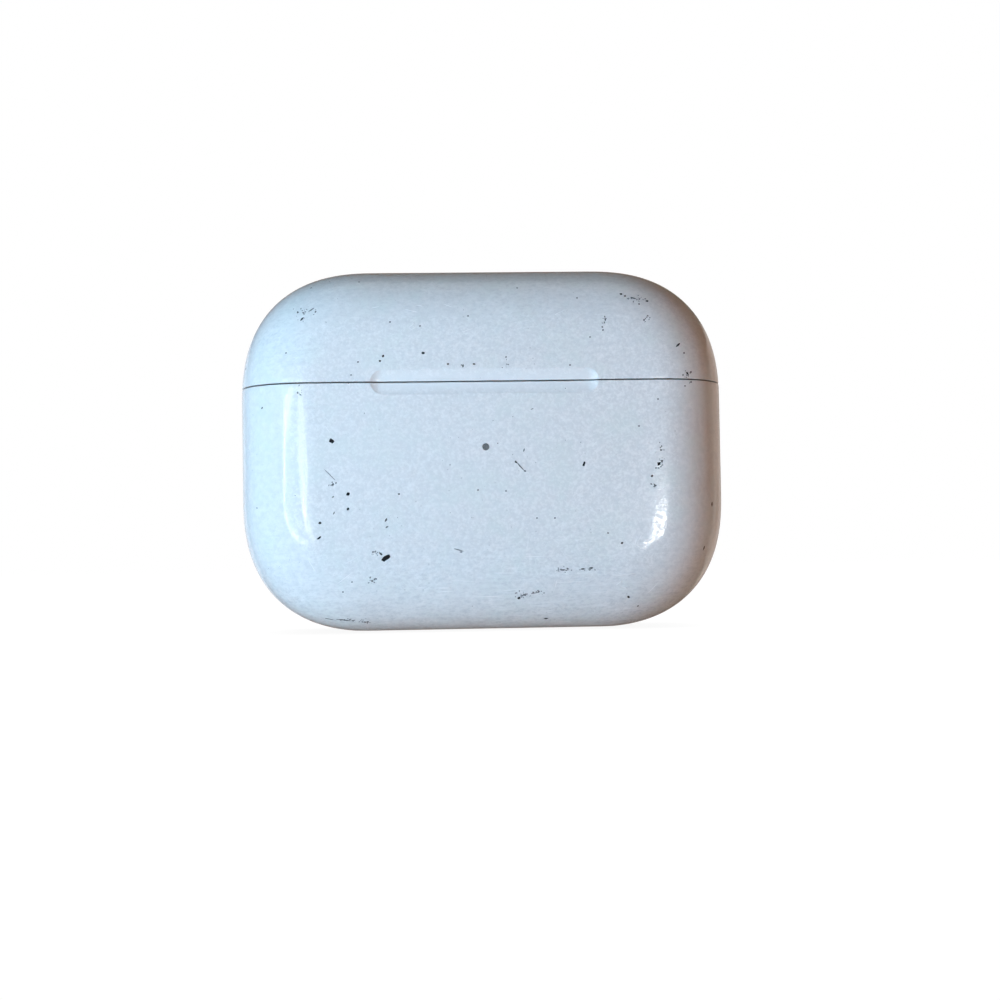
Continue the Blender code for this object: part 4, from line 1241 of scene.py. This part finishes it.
grimeMarks = {  # photo pixel x, y, then length and width in pixels and tilt in degrees, anticlockwise
    "besideLight": [
        (331.5, 441, 5.4, 4.4, -25), (478, 490, 2, 1.4, 0), (506, 491, 1.8, 1.4, 0), (524, 450, 3.5, 1.2, 70),
        (520, 466, 12, 1.2, -48), (516, 462, 3, 1.8, -50), (525, 471, 2.5, 1.6, -30), (584, 464, 5, 2.4, 75),
    ],
    "leftFace": [
        (348, 494, 4, 3, 20), (348, 509, 3, 2.4, 60), (320, 523, 3.2, 2.2, 0), (319, 538, 5, 1.8, 35),
        (399, 494, 2.4, 1.6, 0), (330, 475, 17, 0.8, -45), (333, 484, 2, 1.6, 0), (336, 483, 1.8, 1.4, 0),
        (333, 497, 2.6, 1.2, 30), (334, 513, 3.5, 1, 60), (262, 408, 3, 1.6, 30), (257, 508, 1.6, 1.4, 0),
    ],
    "lowerLeft": [
        (386, 558, 10.5, 4.6, 30), (381, 554, 3, 2, -40), (373, 552, 2, 1.6, 0), (386, 520, 4, 1.6, 60),
        (387, 527, 3.4, 1.4, 30), (372, 581, 2, 1.6, 0), (343, 592, 1.8, 1.4, 0), (352, 582, 1.6, 1.4, 0),
        (329, 619, 9, 1.4, -4), (344, 620, 14, 1.6, -4), (366, 622, 6, 1.4, 0), (459, 550, 11, 1, -16),
        (461, 552, 3, 1.2, 0),
    ],
    "lowerMiddle": [
        (519, 598, 3.2, 2.6, 40), (524, 595, 9, 1.2, 24), (535, 593, 9, 1, 12), (546, 618.5, 4.5, 2.2, -12),
        (563, 570, 5, 1.4, 0), (583, 569, 5, 1.4, 0), (591, 568, 4, 1.6, 10), (555, 518, 2, 1.4, 0),
        (537, 518, 1.8, 1.4, 0), (608, 533, 1.8, 1.4, 0), (622, 543, 2.4, 2, 0), (628.5, 597, 3.2, 2.2, -55),
        (638, 606, 2, 1.6, 0),
    ],
    "rightFace": [
        (659, 464, 4, 2.4, 60), (662, 461, 2.4, 1.8, 0), (656, 468, 2, 1.4, 0), (661, 450, 2.2, 1.6, 0),
        (652, 476, 2.4, 2.2, 0), (655, 486, 4, 1.2, 30), (712, 504, 5, 2, 75), (704, 548, 4.5, 1.8, 70),
        (639, 426, 2, 1.4, 0), (658, 399, 2, 1.4, 0), (532, 409, 3, 1, 20),
    ],
    "aboveScoop": [
        (423, 353, 3.4, 2.6, 0), (383, 356, 2.8, 2, 45), (380, 361, 2.4, 2, 0), (358, 362, 2, 1.4, 0),
        (351, 375, 2, 1.4, 0), (448, 364, 2.4, 1.8, 0), (463, 366, 1.6, 3, 0), (474, 364, 2.8, 1.8, 0),
        (506, 357, 1.8, 1.4, 0), (570, 365, 2, 1.4, 0),
    ],
    "lidLeft": [
        (302, 319, 5, 1.8, 50), (311, 310, 7, 1.2, 40), (390, 322, 2, 1.4, 0), (420, 326, 1.8, 1.4, 0),
        (468, 316, 2, 1.4, 0), (246, 369, 2.4, 1.6, 80), (286, 353, 1.8, 1.4, 0), (311, 288, 2.4, 1.4, 0),
        (359, 282, 2, 1.4, 0),
    ],
    "lidRight": [
        (621, 294, 2.8, 2.2, 0), (625, 296, 2.2, 1.8, 0), (633, 298, 6, 1.6, -14), (647, 301, 3, 2.2, 0),
        (639, 304, 2, 1.6, 0), (577, 298, 2, 1.4, 0), (517, 288, 2, 1.4, 0), (603, 330, 2, 1.4, 0),
        (590, 337, 1.8, 1.4, 0), (605, 319, 1.8, 1.4, 0), (644, 320, 2, 1.6, 0), (678, 345, 6, 1.8, 40),
        (684, 353, 2, 1.6, 0), (687, 373, 2.6, 2, 0), (691, 372, 2, 1.6, 0), (683, 375, 1.8, 1.4, 0),
        (691, 382, 2, 1.6, 0), (685, 386, 1.6, 1.4, 0),
    ],
}
grimeClusters = {  # photo pixel x, y, how far the crumbs spread across and up, and how many
    "lidCorner": (305, 312, 11, 7, 22), "lowerLeft": (372, 581, 7, 4, 10),
    "besideLargest": (377, 553, 6, 3, 8), "footScratch": (350, 620, 14, 1.5, 16),
    "footDust": (366, 622, 7, 2, 12), "belowLine": (332, 484, 4, 3, 5),
    "rubLeft": (563, 570, 8, 2.5, 16), "rubRight": (586, 569, 8, 2, 10),
    "footRub": (524, 594, 9, 4, 20), "footTrail": (541, 592, 6, 1.5, 8),
    "rightFace": (660, 463, 5, 6, 14), "rightLower": (655, 485, 5, 3, 6),
    "rightUpper": (661, 448, 3, 4, 5), "lidRightTop": (636, 299, 10, 4, 14),
    "lidRightInner": (646, 318, 4, 6, 9), "lidMiddle": (604, 320, 4, 7, 9),
    "lidSeamRight": (688, 378, 5, 8, 12), "lidSeamMiddle": (463, 365, 4, 2, 5),
    "lidUnder": (506, 364, 5, 3, 6), "loopHead": (300, 392, 5, 6, 8),
}
paleScratches = {  # laid out like the grime
    "foot": [
        (504, 573, 24, 0.9, -1), (535, 556.5, 25, 0.7, 1), (445, 588, 12, 1.2, 0), (446, 591.5, 16, 0.8, 2),
        (490, 596.5, 27, 1.1, 1), (510, 590, 13, 0.8, 3), (626, 574.5, 24, 0.9, 6), (570, 582, 30, 0.6, 2),
        (556, 584, 12, 0.7, 78), (528, 543, 9, 0.6, 88), (463, 581, 26, 0.6, -3), (600, 592, 22, 0.6, 4),
    ],
    "rightCorner": [
        (642, 548, 11, 1.3, -26), (619, 583, 9, 1.4, 40), (623, 587, 8, 1.2, -20), (653, 588, 14, 0.9, 52),
        (636, 541, 7, 0.8, 80), (669, 513, 9, 0.7, -40), (664, 505, 7, 0.7, 20), (640, 538, 8, 0.7, 60),
    ],
    "rightFace": [
        (653, 452.7, 7, 1.9, 12), (594.5, 444, 8, 0.8, 50), (584, 454, 3, 1.6, 0), (648, 443, 3, 1.4, 0),
    ],
    "leftFace": [
        (327.5, 429, 9, 0.9, -58), (352, 560, 16, 0.7, 30), (345, 578, 20, 0.7, 38), (312, 566, 15, 0.7, -60),
    ],
    "lid": [
        (411, 310.5, 14, 1.2, -15), (420, 305.5, 9, 1.0, -8), (412, 325, 8, 1.0, 40), (414, 328, 7, 0.9, 35),
        (448, 305.5, 9, 0.9, -20), (376, 307, 7, 0.9, 15), (468, 330, 12, 0.7, 20), (560, 312, 14, 0.8, 30),
    ],
}
fleckForm = {
    "seed": 11, "thickness": 0.05, "scratchThickness": 0.02,
    "variants": 7, "variantStep": 5.0, "ragged": 0.55, "raggedScale": 2.4, "raggedDetail": 1.0,
    "ball": {"Radius": 0.5, "Subdivisions": 2},
    "blackFrom": 1.9, "greying": 0.5, "greyest": 0.6,  # marks thinner than this many pixels are greyer
    "crumbLength": (0.7, 2.4), "crumbShape": (0.35, 0.8), "crumbShade": (0.1, 0.9), "crumbThinner": 0.6,
    "count": 640, "smallest": 0.04, "largest": 0.16, "fewLarge": 3, "fineShape": (0.4, 0.9),
    "startReach": 100,  # where the rays start that find the finer flecks' places
}
shells = {"base": baseMoulding, "lid": lidMoulding}
depsgraph = bpy.context.evaluated_depsgraph_get()
shellTrees = {body: BVHTree.FromObject(made, depsgraph) for body, made in shells.items()}


def smoothNormal(mesh, face, place):
    corners = [mesh.vertices[i] for i in mesh.polygons[face].vertices]
    shares = poly_3d_calc([corner.co for corner in corners], place)
    return sum((corner.normal * share for corner, share in zip(corners, shares)), Vector()).normalized()


def firstHit(start, along, smooth=False):  # the nearer of the two shells on a ray
    found = []
    for body, tree in shellTrees.items():
        place, normal, face, distance = tree.ray_cast(start, along)
        if place is not None:
            if smooth:
                normal = smoothNormal(shells[body].data, face, place)
            found.append((distance, body, place, normal))
    return min(found, key=lambda hit: hit[0]) if found else None


def lieFlat(normal, along):  # a turn whose X runs along the surface and Z stands on it
    across = normal.cross(along).normalized()
    return Matrix((across.cross(normal), across, normal)).transposed().to_euler()


def layMark(flecks, mark, thickness, shade):
    x, y, length, width, tilt = mark
    hit = firstHit(cameraPlace, pixelRay(x, y))
    if hit is None:
        return
    distance, body, place, normal = hit
    pixel = distance / photoCamera["focalPixels"]
    right, above, _ = cameraAxes()
    along = right * math.cos(math.radians(tilt)) + above * math.sin(math.radians(tilt))
    size = (length * pixel, width * pixel, thickness * mm)
    flecks[body].append((place, lieFlat(normal, along), size, shade))


def drawWay(draw):
    return Vector((draw.gauss(0, 1), draw.gauss(0, 1), draw.gauss(0, 1)))


def gatherFlecks():
    form = fleckForm
    flecks = {"base": [], "lid": []}
    for marks in grimeMarks.values():
        for mark in marks:
            paler = max((form["blackFrom"] - mark[3]) * form["greying"], 0.0)
            layMark(flecks, mark, form["thickness"], min(paler, form["greyest"]))
    draw = random.Random(form["seed"])
    thin = form["thickness"] * form["crumbThinner"]
    for x, y, across, up, count in grimeClusters.values():
        for _ in range(count):
            length = draw.uniform(*form["crumbLength"])
            crumb = (draw.gauss(x, across / 2), draw.gauss(y, up / 2), length,
                     length * draw.uniform(*form["crumbShape"]), draw.uniform(0, 180))
            layMark(flecks, crumb, thin, draw.uniform(*form["crumbShade"]))
    centre = Vector((0, 0, caseHeight / 2 * mm))
    start, spread = form["startReach"] * mm, form["largest"] - form["smallest"]
    while sum(len(found) for found in flecks.values()) < form["count"]:
        way = drawWay(draw).normalized()
        _, body, place, normal = firstHit(centre + way * start, -way)
        length = draw.uniform(0, 1) ** form["fewLarge"] * spread + form["smallest"]
        size = (length * mm, length * draw.uniform(*form["fineShape"]) * mm, thin * mm)
        turn = lieFlat(normal, drawWay(draw))
        flecks[body].append((place, turn, size, draw.uniform(*form["crumbShade"])))
    return flecks


def gatherScratches():
    flecks = {"base": [], "lid": []}
    for marks in paleScratches.values():
        for mark in marks:
            layMark(flecks, mark, fleckForm["scratchThickness"], 0.0)
    return flecks


def makeFleckTree():
    form = fleckForm
    kinds = {"Points": "Geometry", "Ragged": "Float", "Raggedness Scale": "Float", "Finish": "Material"}
    tree, sockets, given = startTree("grime flecks", kinds)
    start = Wire(tree)
    crumbs = []
    for variant in range(form["variants"]):
        ball = start.node("GeometryNodeMeshIcoSphere", None, form["ball"])
        rough = start.node("ShaderNodeTexNoise", {"noise_dimensions": "4D"}, {
            "Scale": given["Raggedness Scale"], "Detail": form["raggedDetail"],
            "W": variant * form["variantStep"]}, "Color")
        torn = scaled(vectorMaths("SUBTRACT", rough, (0.5, 0.5, 0.5)), given["Ragged"])
        crumb = start.node("GeometryNodeSetPosition", None, {"Geometry": ball, "Offset": torn})
        crumbs.append(start.node("GeometryNodeGeometryToInstance", None, {"Geometry": crumb}))
    stored = {}
    for name in ("turn", "size"):
        stored[name] = start.node("GeometryNodeInputNamedAttribute", {"data_type": "FLOAT_VECTOR"},
                                  {"Name": name})
    spin = start.node("FunctionNodeEulerToRotation", None, {"Euler": stored["turn"]})
    placed = start.node("GeometryNodeInstanceOnPoints", None, {
        "Points": given["Points"], "Instance": joinParts(tree, crumbs), "Pick Instance": True,
        "Rotation": spin, "Scale": stored["size"]})
    endTree(tree, placed, given["Finish"])
    return tree, sockets


def buildFlecks(label, finish, gathered):
    tree, sockets = makeFleckTree()
    for body, flecks in gathered.items():
        name = body + label
        places, turns, sizes, shades = zip(*flecks)
        mesh = bpy.data.meshes.new(name)
        mesh.from_pydata(places, [], [])
        for part, vectors in (("turn", turns), ("size", sizes)):
            stored = mesh.attributes.new(part, "FLOAT_VECTOR", "POINT")
            stored.data.foreach_set("vector", [number for vector in vectors for number in vector])
        mesh.attributes.new("shade", "FLOAT", "POINT").data.foreach_set("value", shades)
        made = linkObject(name, mesh)
        growTree(made, tree, sockets, {
            "Ragged": fleckForm["ragged"], "Raggedness Scale": fleckForm["raggedScale"], "Finish": finish})
        paint(made, finish)
        made.data.shade_smooth()
        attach(made, body)
        print(name + ":", len(flecks))


buildFlecks("_flecks", grime, gatherFlecks())
buildFlecks("_scratches", paleScratch, gatherScratches())


# finishes for the inner pieces that keep their CAD meshes

innerSlots = {
    "liner_white": ["status_led"],
    "black_plastic": ["lid_sensor", "controller_chip", "power_chip", "button_switch"],
    "flex_amber": ["status_flex"],
    "board_green": ["main_board"],
    "cell_silver": ["battery_left", "battery_right"],
    "coil_copper": ["charging_coil"],
    "ferrite": ["coil_shield"],
    "magnet_nickel": ["closure_magnet_left", "closure_magnet_right", "bud_magnet_left", "bud_magnet_right",
                      "lid_magnet_left", "lid_magnet_right", "sensor_magnet"],
}
for slotName, names in innerSlots.items():
    for name in names:
        paint(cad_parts[name], finishes[slotName])
print("inner pieces dressed")


# floor, backdrop light and lamps

stageForm = {
    "floorSide": 6.0, "floorSteps": 8, "floorDrop": 0.05, "floor": (0.80, 0.66, 0.56, 1), "roughness": 0.9,
    "white": (1.02, 1.02, 1.02, 1), "shaded": (0.94, 0.94, 0.94, 1),  # what the camera sees of the floor
    # shadeHalf and shadeReach give a painted shadow round the case's foot, which the camera sees on the floor
    "shadeHalf": (0.018, 0.004, 0), "shadeReach": 0.014, "backdrop": (1, 1, 1, 1),
}


def makeFloorFinish():  # see-through from below, and pale to the camera whatever the lamps do
    form = stageForm
    made, shader, spot = startMaterial("pale floor", Base_Color=form["floor"], Roughness=form["roughness"])
    # painted shadow: the floor is painted darker round the case's foot, as a contact shadow
    clearOfPaintedShadow = fade(outside(spot, form["shadeHalf"]), 0, form["shadeReach"])
    seen = spot.node("ShaderNodeEmission", None, {"Color": tint(clearOfPaintedShadow, form["shaded"], form["white"])})
    toCamera = spot.node("ShaderNodeLightPath", out="Is Camera Ray")
    plain = Wire(made.node_tree, shader.outputs[0])
    both = spot.node("ShaderNodeMixShader", None, {0: toCamera, 1: plain, 2: seen})
    fromBelow = spot.node("ShaderNodeNewGeometry", out="Backfacing")
    clear = spot.node("ShaderNodeBsdfTransparent")
    both = spot.node("ShaderNodeMixShader", None, {0: fromBelow, 1: both, 2: clear})
    made.node_tree.links.new(both.socket, made.node_tree.nodes["Material Output"].inputs["Surface"])
    return made


def buildFloor():
    shape = bmesh.new()
    steps = stageForm["floorSteps"]
    bmesh.ops.create_grid(shape, x_segments=steps, y_segments=steps, size=stageForm["floorSide"] / 2)
    bmesh.ops.translate(shape, vec=(0, 0, -stageForm["floorDrop"] * mm), verts=shape.verts)
    mesh = bpy.data.meshes.new("pale_floor")
    shape.to_mesh(mesh)
    shape.free()
    floor = linkObject("pale_floor", mesh)
    paint(floor, makeFloorFinish())
    floor.visible_glossy = False
    floor.visible_shadow = False


roomSides = {  # axis, way, what the room sends from there besides the lamps, and what gloss mirrors of it
    "left": ("X", -1, (0.03, 0.03, 0.03), (0.24, 0.26, 0.28)),
    "right": ("X", 1, (0.025, 0.008, 0.0), (0.30, 0.24, 0.20)),
    "front": ("Y", -1, (0.03, 0.03, 0.03), (0.03, 0.03, 0.03)),
    "behind": ("Y", 1, (0.03, 0.025, 0.02), (0.20, 0.14, 0.11)),
    "above": ("Z", 1, (0.10, 0.08, 0.06), (0.12, 0.09, 0.06)),
    "below": ("Z", -1, (0.03, 0.03, 0.03), (0.36, 0.31, 0.26)),
}


def roomColour(look, mirrors):  # blends the six sides by the direction looked in
    room = None
    for axis, way, glow, shine in roomSides.values():
        part = coordinate(look, axis) * way
        weight = part.maths("MAXIMUM", part, 0.0) ** 2  # squares, so that the six weights add up to 1
        share = scaled(shine if mirrors else glow, weight)
        room = share if room is None else vectorMaths("ADD", room, share)
    return room


def buildWorld():
    world = bpy.data.worlds.new("white room")
    bpy.context.scene.world = world
    world.use_nodes = True
    tree = world.node_tree
    look = Wire(tree).node("ShaderNodeTexCoord", out="Generated")
    toGlossy = look.node("ShaderNodeLightPath", out="Is Glossy Ray")
    toCamera = look.node("ShaderNodeLightPath", out="Is Camera Ray")
    colour = tint(toGlossy, roomColour(look, False), roomColour(look, True))
    colour = tint(toCamera, colour, stageForm["backdrop"])
    tree.links.new(colour.socket, tree.nodes["Background"].inputs["Color"])


lamps = {  # soft lamps that light the surfaces but don't mirror in them
    "low left": {"place": (-150, -190, 34), "size": (120, 80), "watts": 0.515, "colour": (0.39, 0.745, 1.0)},
    "under left": {"place": (-150, -190, -40), "size": (120, 80), "watts": 0.2, "colour": (0.55, 0.70, 0.94)},
    "front": {"place": (0, -260, 30), "size": (120, 80), "watts": 0.128, "colour": (1.0, 0.34, 0.05)},
    "back left": {"place": (-220, 160, 80), "size": (160, 140), "watts": 0.15, "colour": (1.0, 0.62, 0.55)},
    "back": {"place": (60, 320, 200), "size": (260, 260), "watts": 0.6, "colour": (0.96, 0.95, 0.92)},
    "behind right": {"place": (190, 270, 40), "size": (200, 100), "watts": 0.44, "colour": (0.84, 0.94, 1.0)},
}
shineLamps = {  # strip lamps that only mirror, hung along where a path of photo pixels reflects to
    "loop left": {
        "path": [(293, 388), (288, 398), (285, 415), (284, 440), (284, 478), (285, 510), (289, 527),
                 (297, 538), (308, 544)],
        "width": 12, "glow": 9.0, "colour": (0.98, 1.0, 0.85),
    },
    "loop right": {
        "path": [(298, 394), (300.5, 425), (303.5, 470), (306.5, 510), (310, 538)],
        "width": 34, "glow": 6.0, "colour": (0.98, 1.0, 0.85),
    },
    "right patch": {"path": [(647, 540), (667, 520)], "width": 30, "glow": 22.0, "colour": (1.0, 0.99, 0.96)},
}
rimLamps = {  # beside, above and behind the case, mirrored only in its outer edges
    "rim left": {"place": (-130, 260, 20), "size": (160, 160), "glow": 0.7, "colour": (0.8, 0.9, 1.0)},
    "rim right": {"place": (230, 230, 20), "size": (220, 220), "glow": 0.55, "colour": (1.0, 0.85, 0.78)},
    "side right": {"place": (290, 120, 20), "size": (100, 160), "glow": 0.38, "colour": (0.75, 0.95, 1.0)},
    "overhead": {"place": (10, 20, 300), "size": (220, 110), "glow": 0.8, "colour": (0.95, 1.0, 1.0)},
    "back strip": {"place": (10, 300, 30), "size": (30, 90), "glow": 7.0, "colour": (1.0, 0.98, 0.95)},
}
shineReach = 250
lampAim = Vector((0, 0, caseHeight / 2)) * mm


def glowWatts(glow, size):
    return glow * math.pi * size[0] * size[1] * mm * mm


def hangLamp(name, place, aim, size, watts, colour):
    data = bpy.data.lights.new(name, "AREA")
    data.shape = "RECTANGLE"
    data.size, data.size_y = size[0] * mm, size[1] * mm
    data.energy = watts
    data.color = colour
    lamp = linkObject(name, data)
    lamp.location = place
    lamp.rotation_euler = (aim - place).to_track_quat("-Z", "Y").to_euler()
    lamp.visible_camera = False
    return lamp


def mirrored(pixel):  # the point on the gloss that a pixel shows, and the place it mirrors
    ray = pixelRay(*pixel)
    _, _, place, normal = firstHit(cameraPlace, ray, smooth=True)
    return place, place + ray.reflect(normal) * shineReach * mm


def hangShine(name, given):
    seen = [mirrored(pixel) for pixel in given["path"]]
    for (startSpot, start), (endSpot, end) in zip(seen, seen[1:]):
        along = start - end
        place = (start + end) / 2
        facing = (place - (startSpot + endSpot) / 2).normalized()
        size = (given["width"], along.length / mm)
        lamp = hangLamp(name, place, place - facing, size, glowWatts(given["glow"], size), given["colour"])
        across = along.cross(facing).normalized()
        lamp.rotation_euler = Matrix((across, facing.cross(across), facing)).transposed().to_euler()
        lamp.visible_diffuse = False


buildFloor()
buildWorld()
for name, given in lamps.items():
    place = Vector(given["place"]) * mm
    hangLamp(name, place, lampAim, given["size"], given["watts"], given["colour"]).visible_glossy = False
for name, given in shineLamps.items():
    hangShine(name, given)
for name, given in rimLamps.items():
    place = Vector(given["place"]) * mm
    watts = glowWatts(given["glow"], given["size"])
    hangLamp(name, place, lampAim, given["size"], watts, given["colour"]).visible_diffuse = False
bpy.context.scene.view_settings.view_transform = "Standard"
print("stage lit")
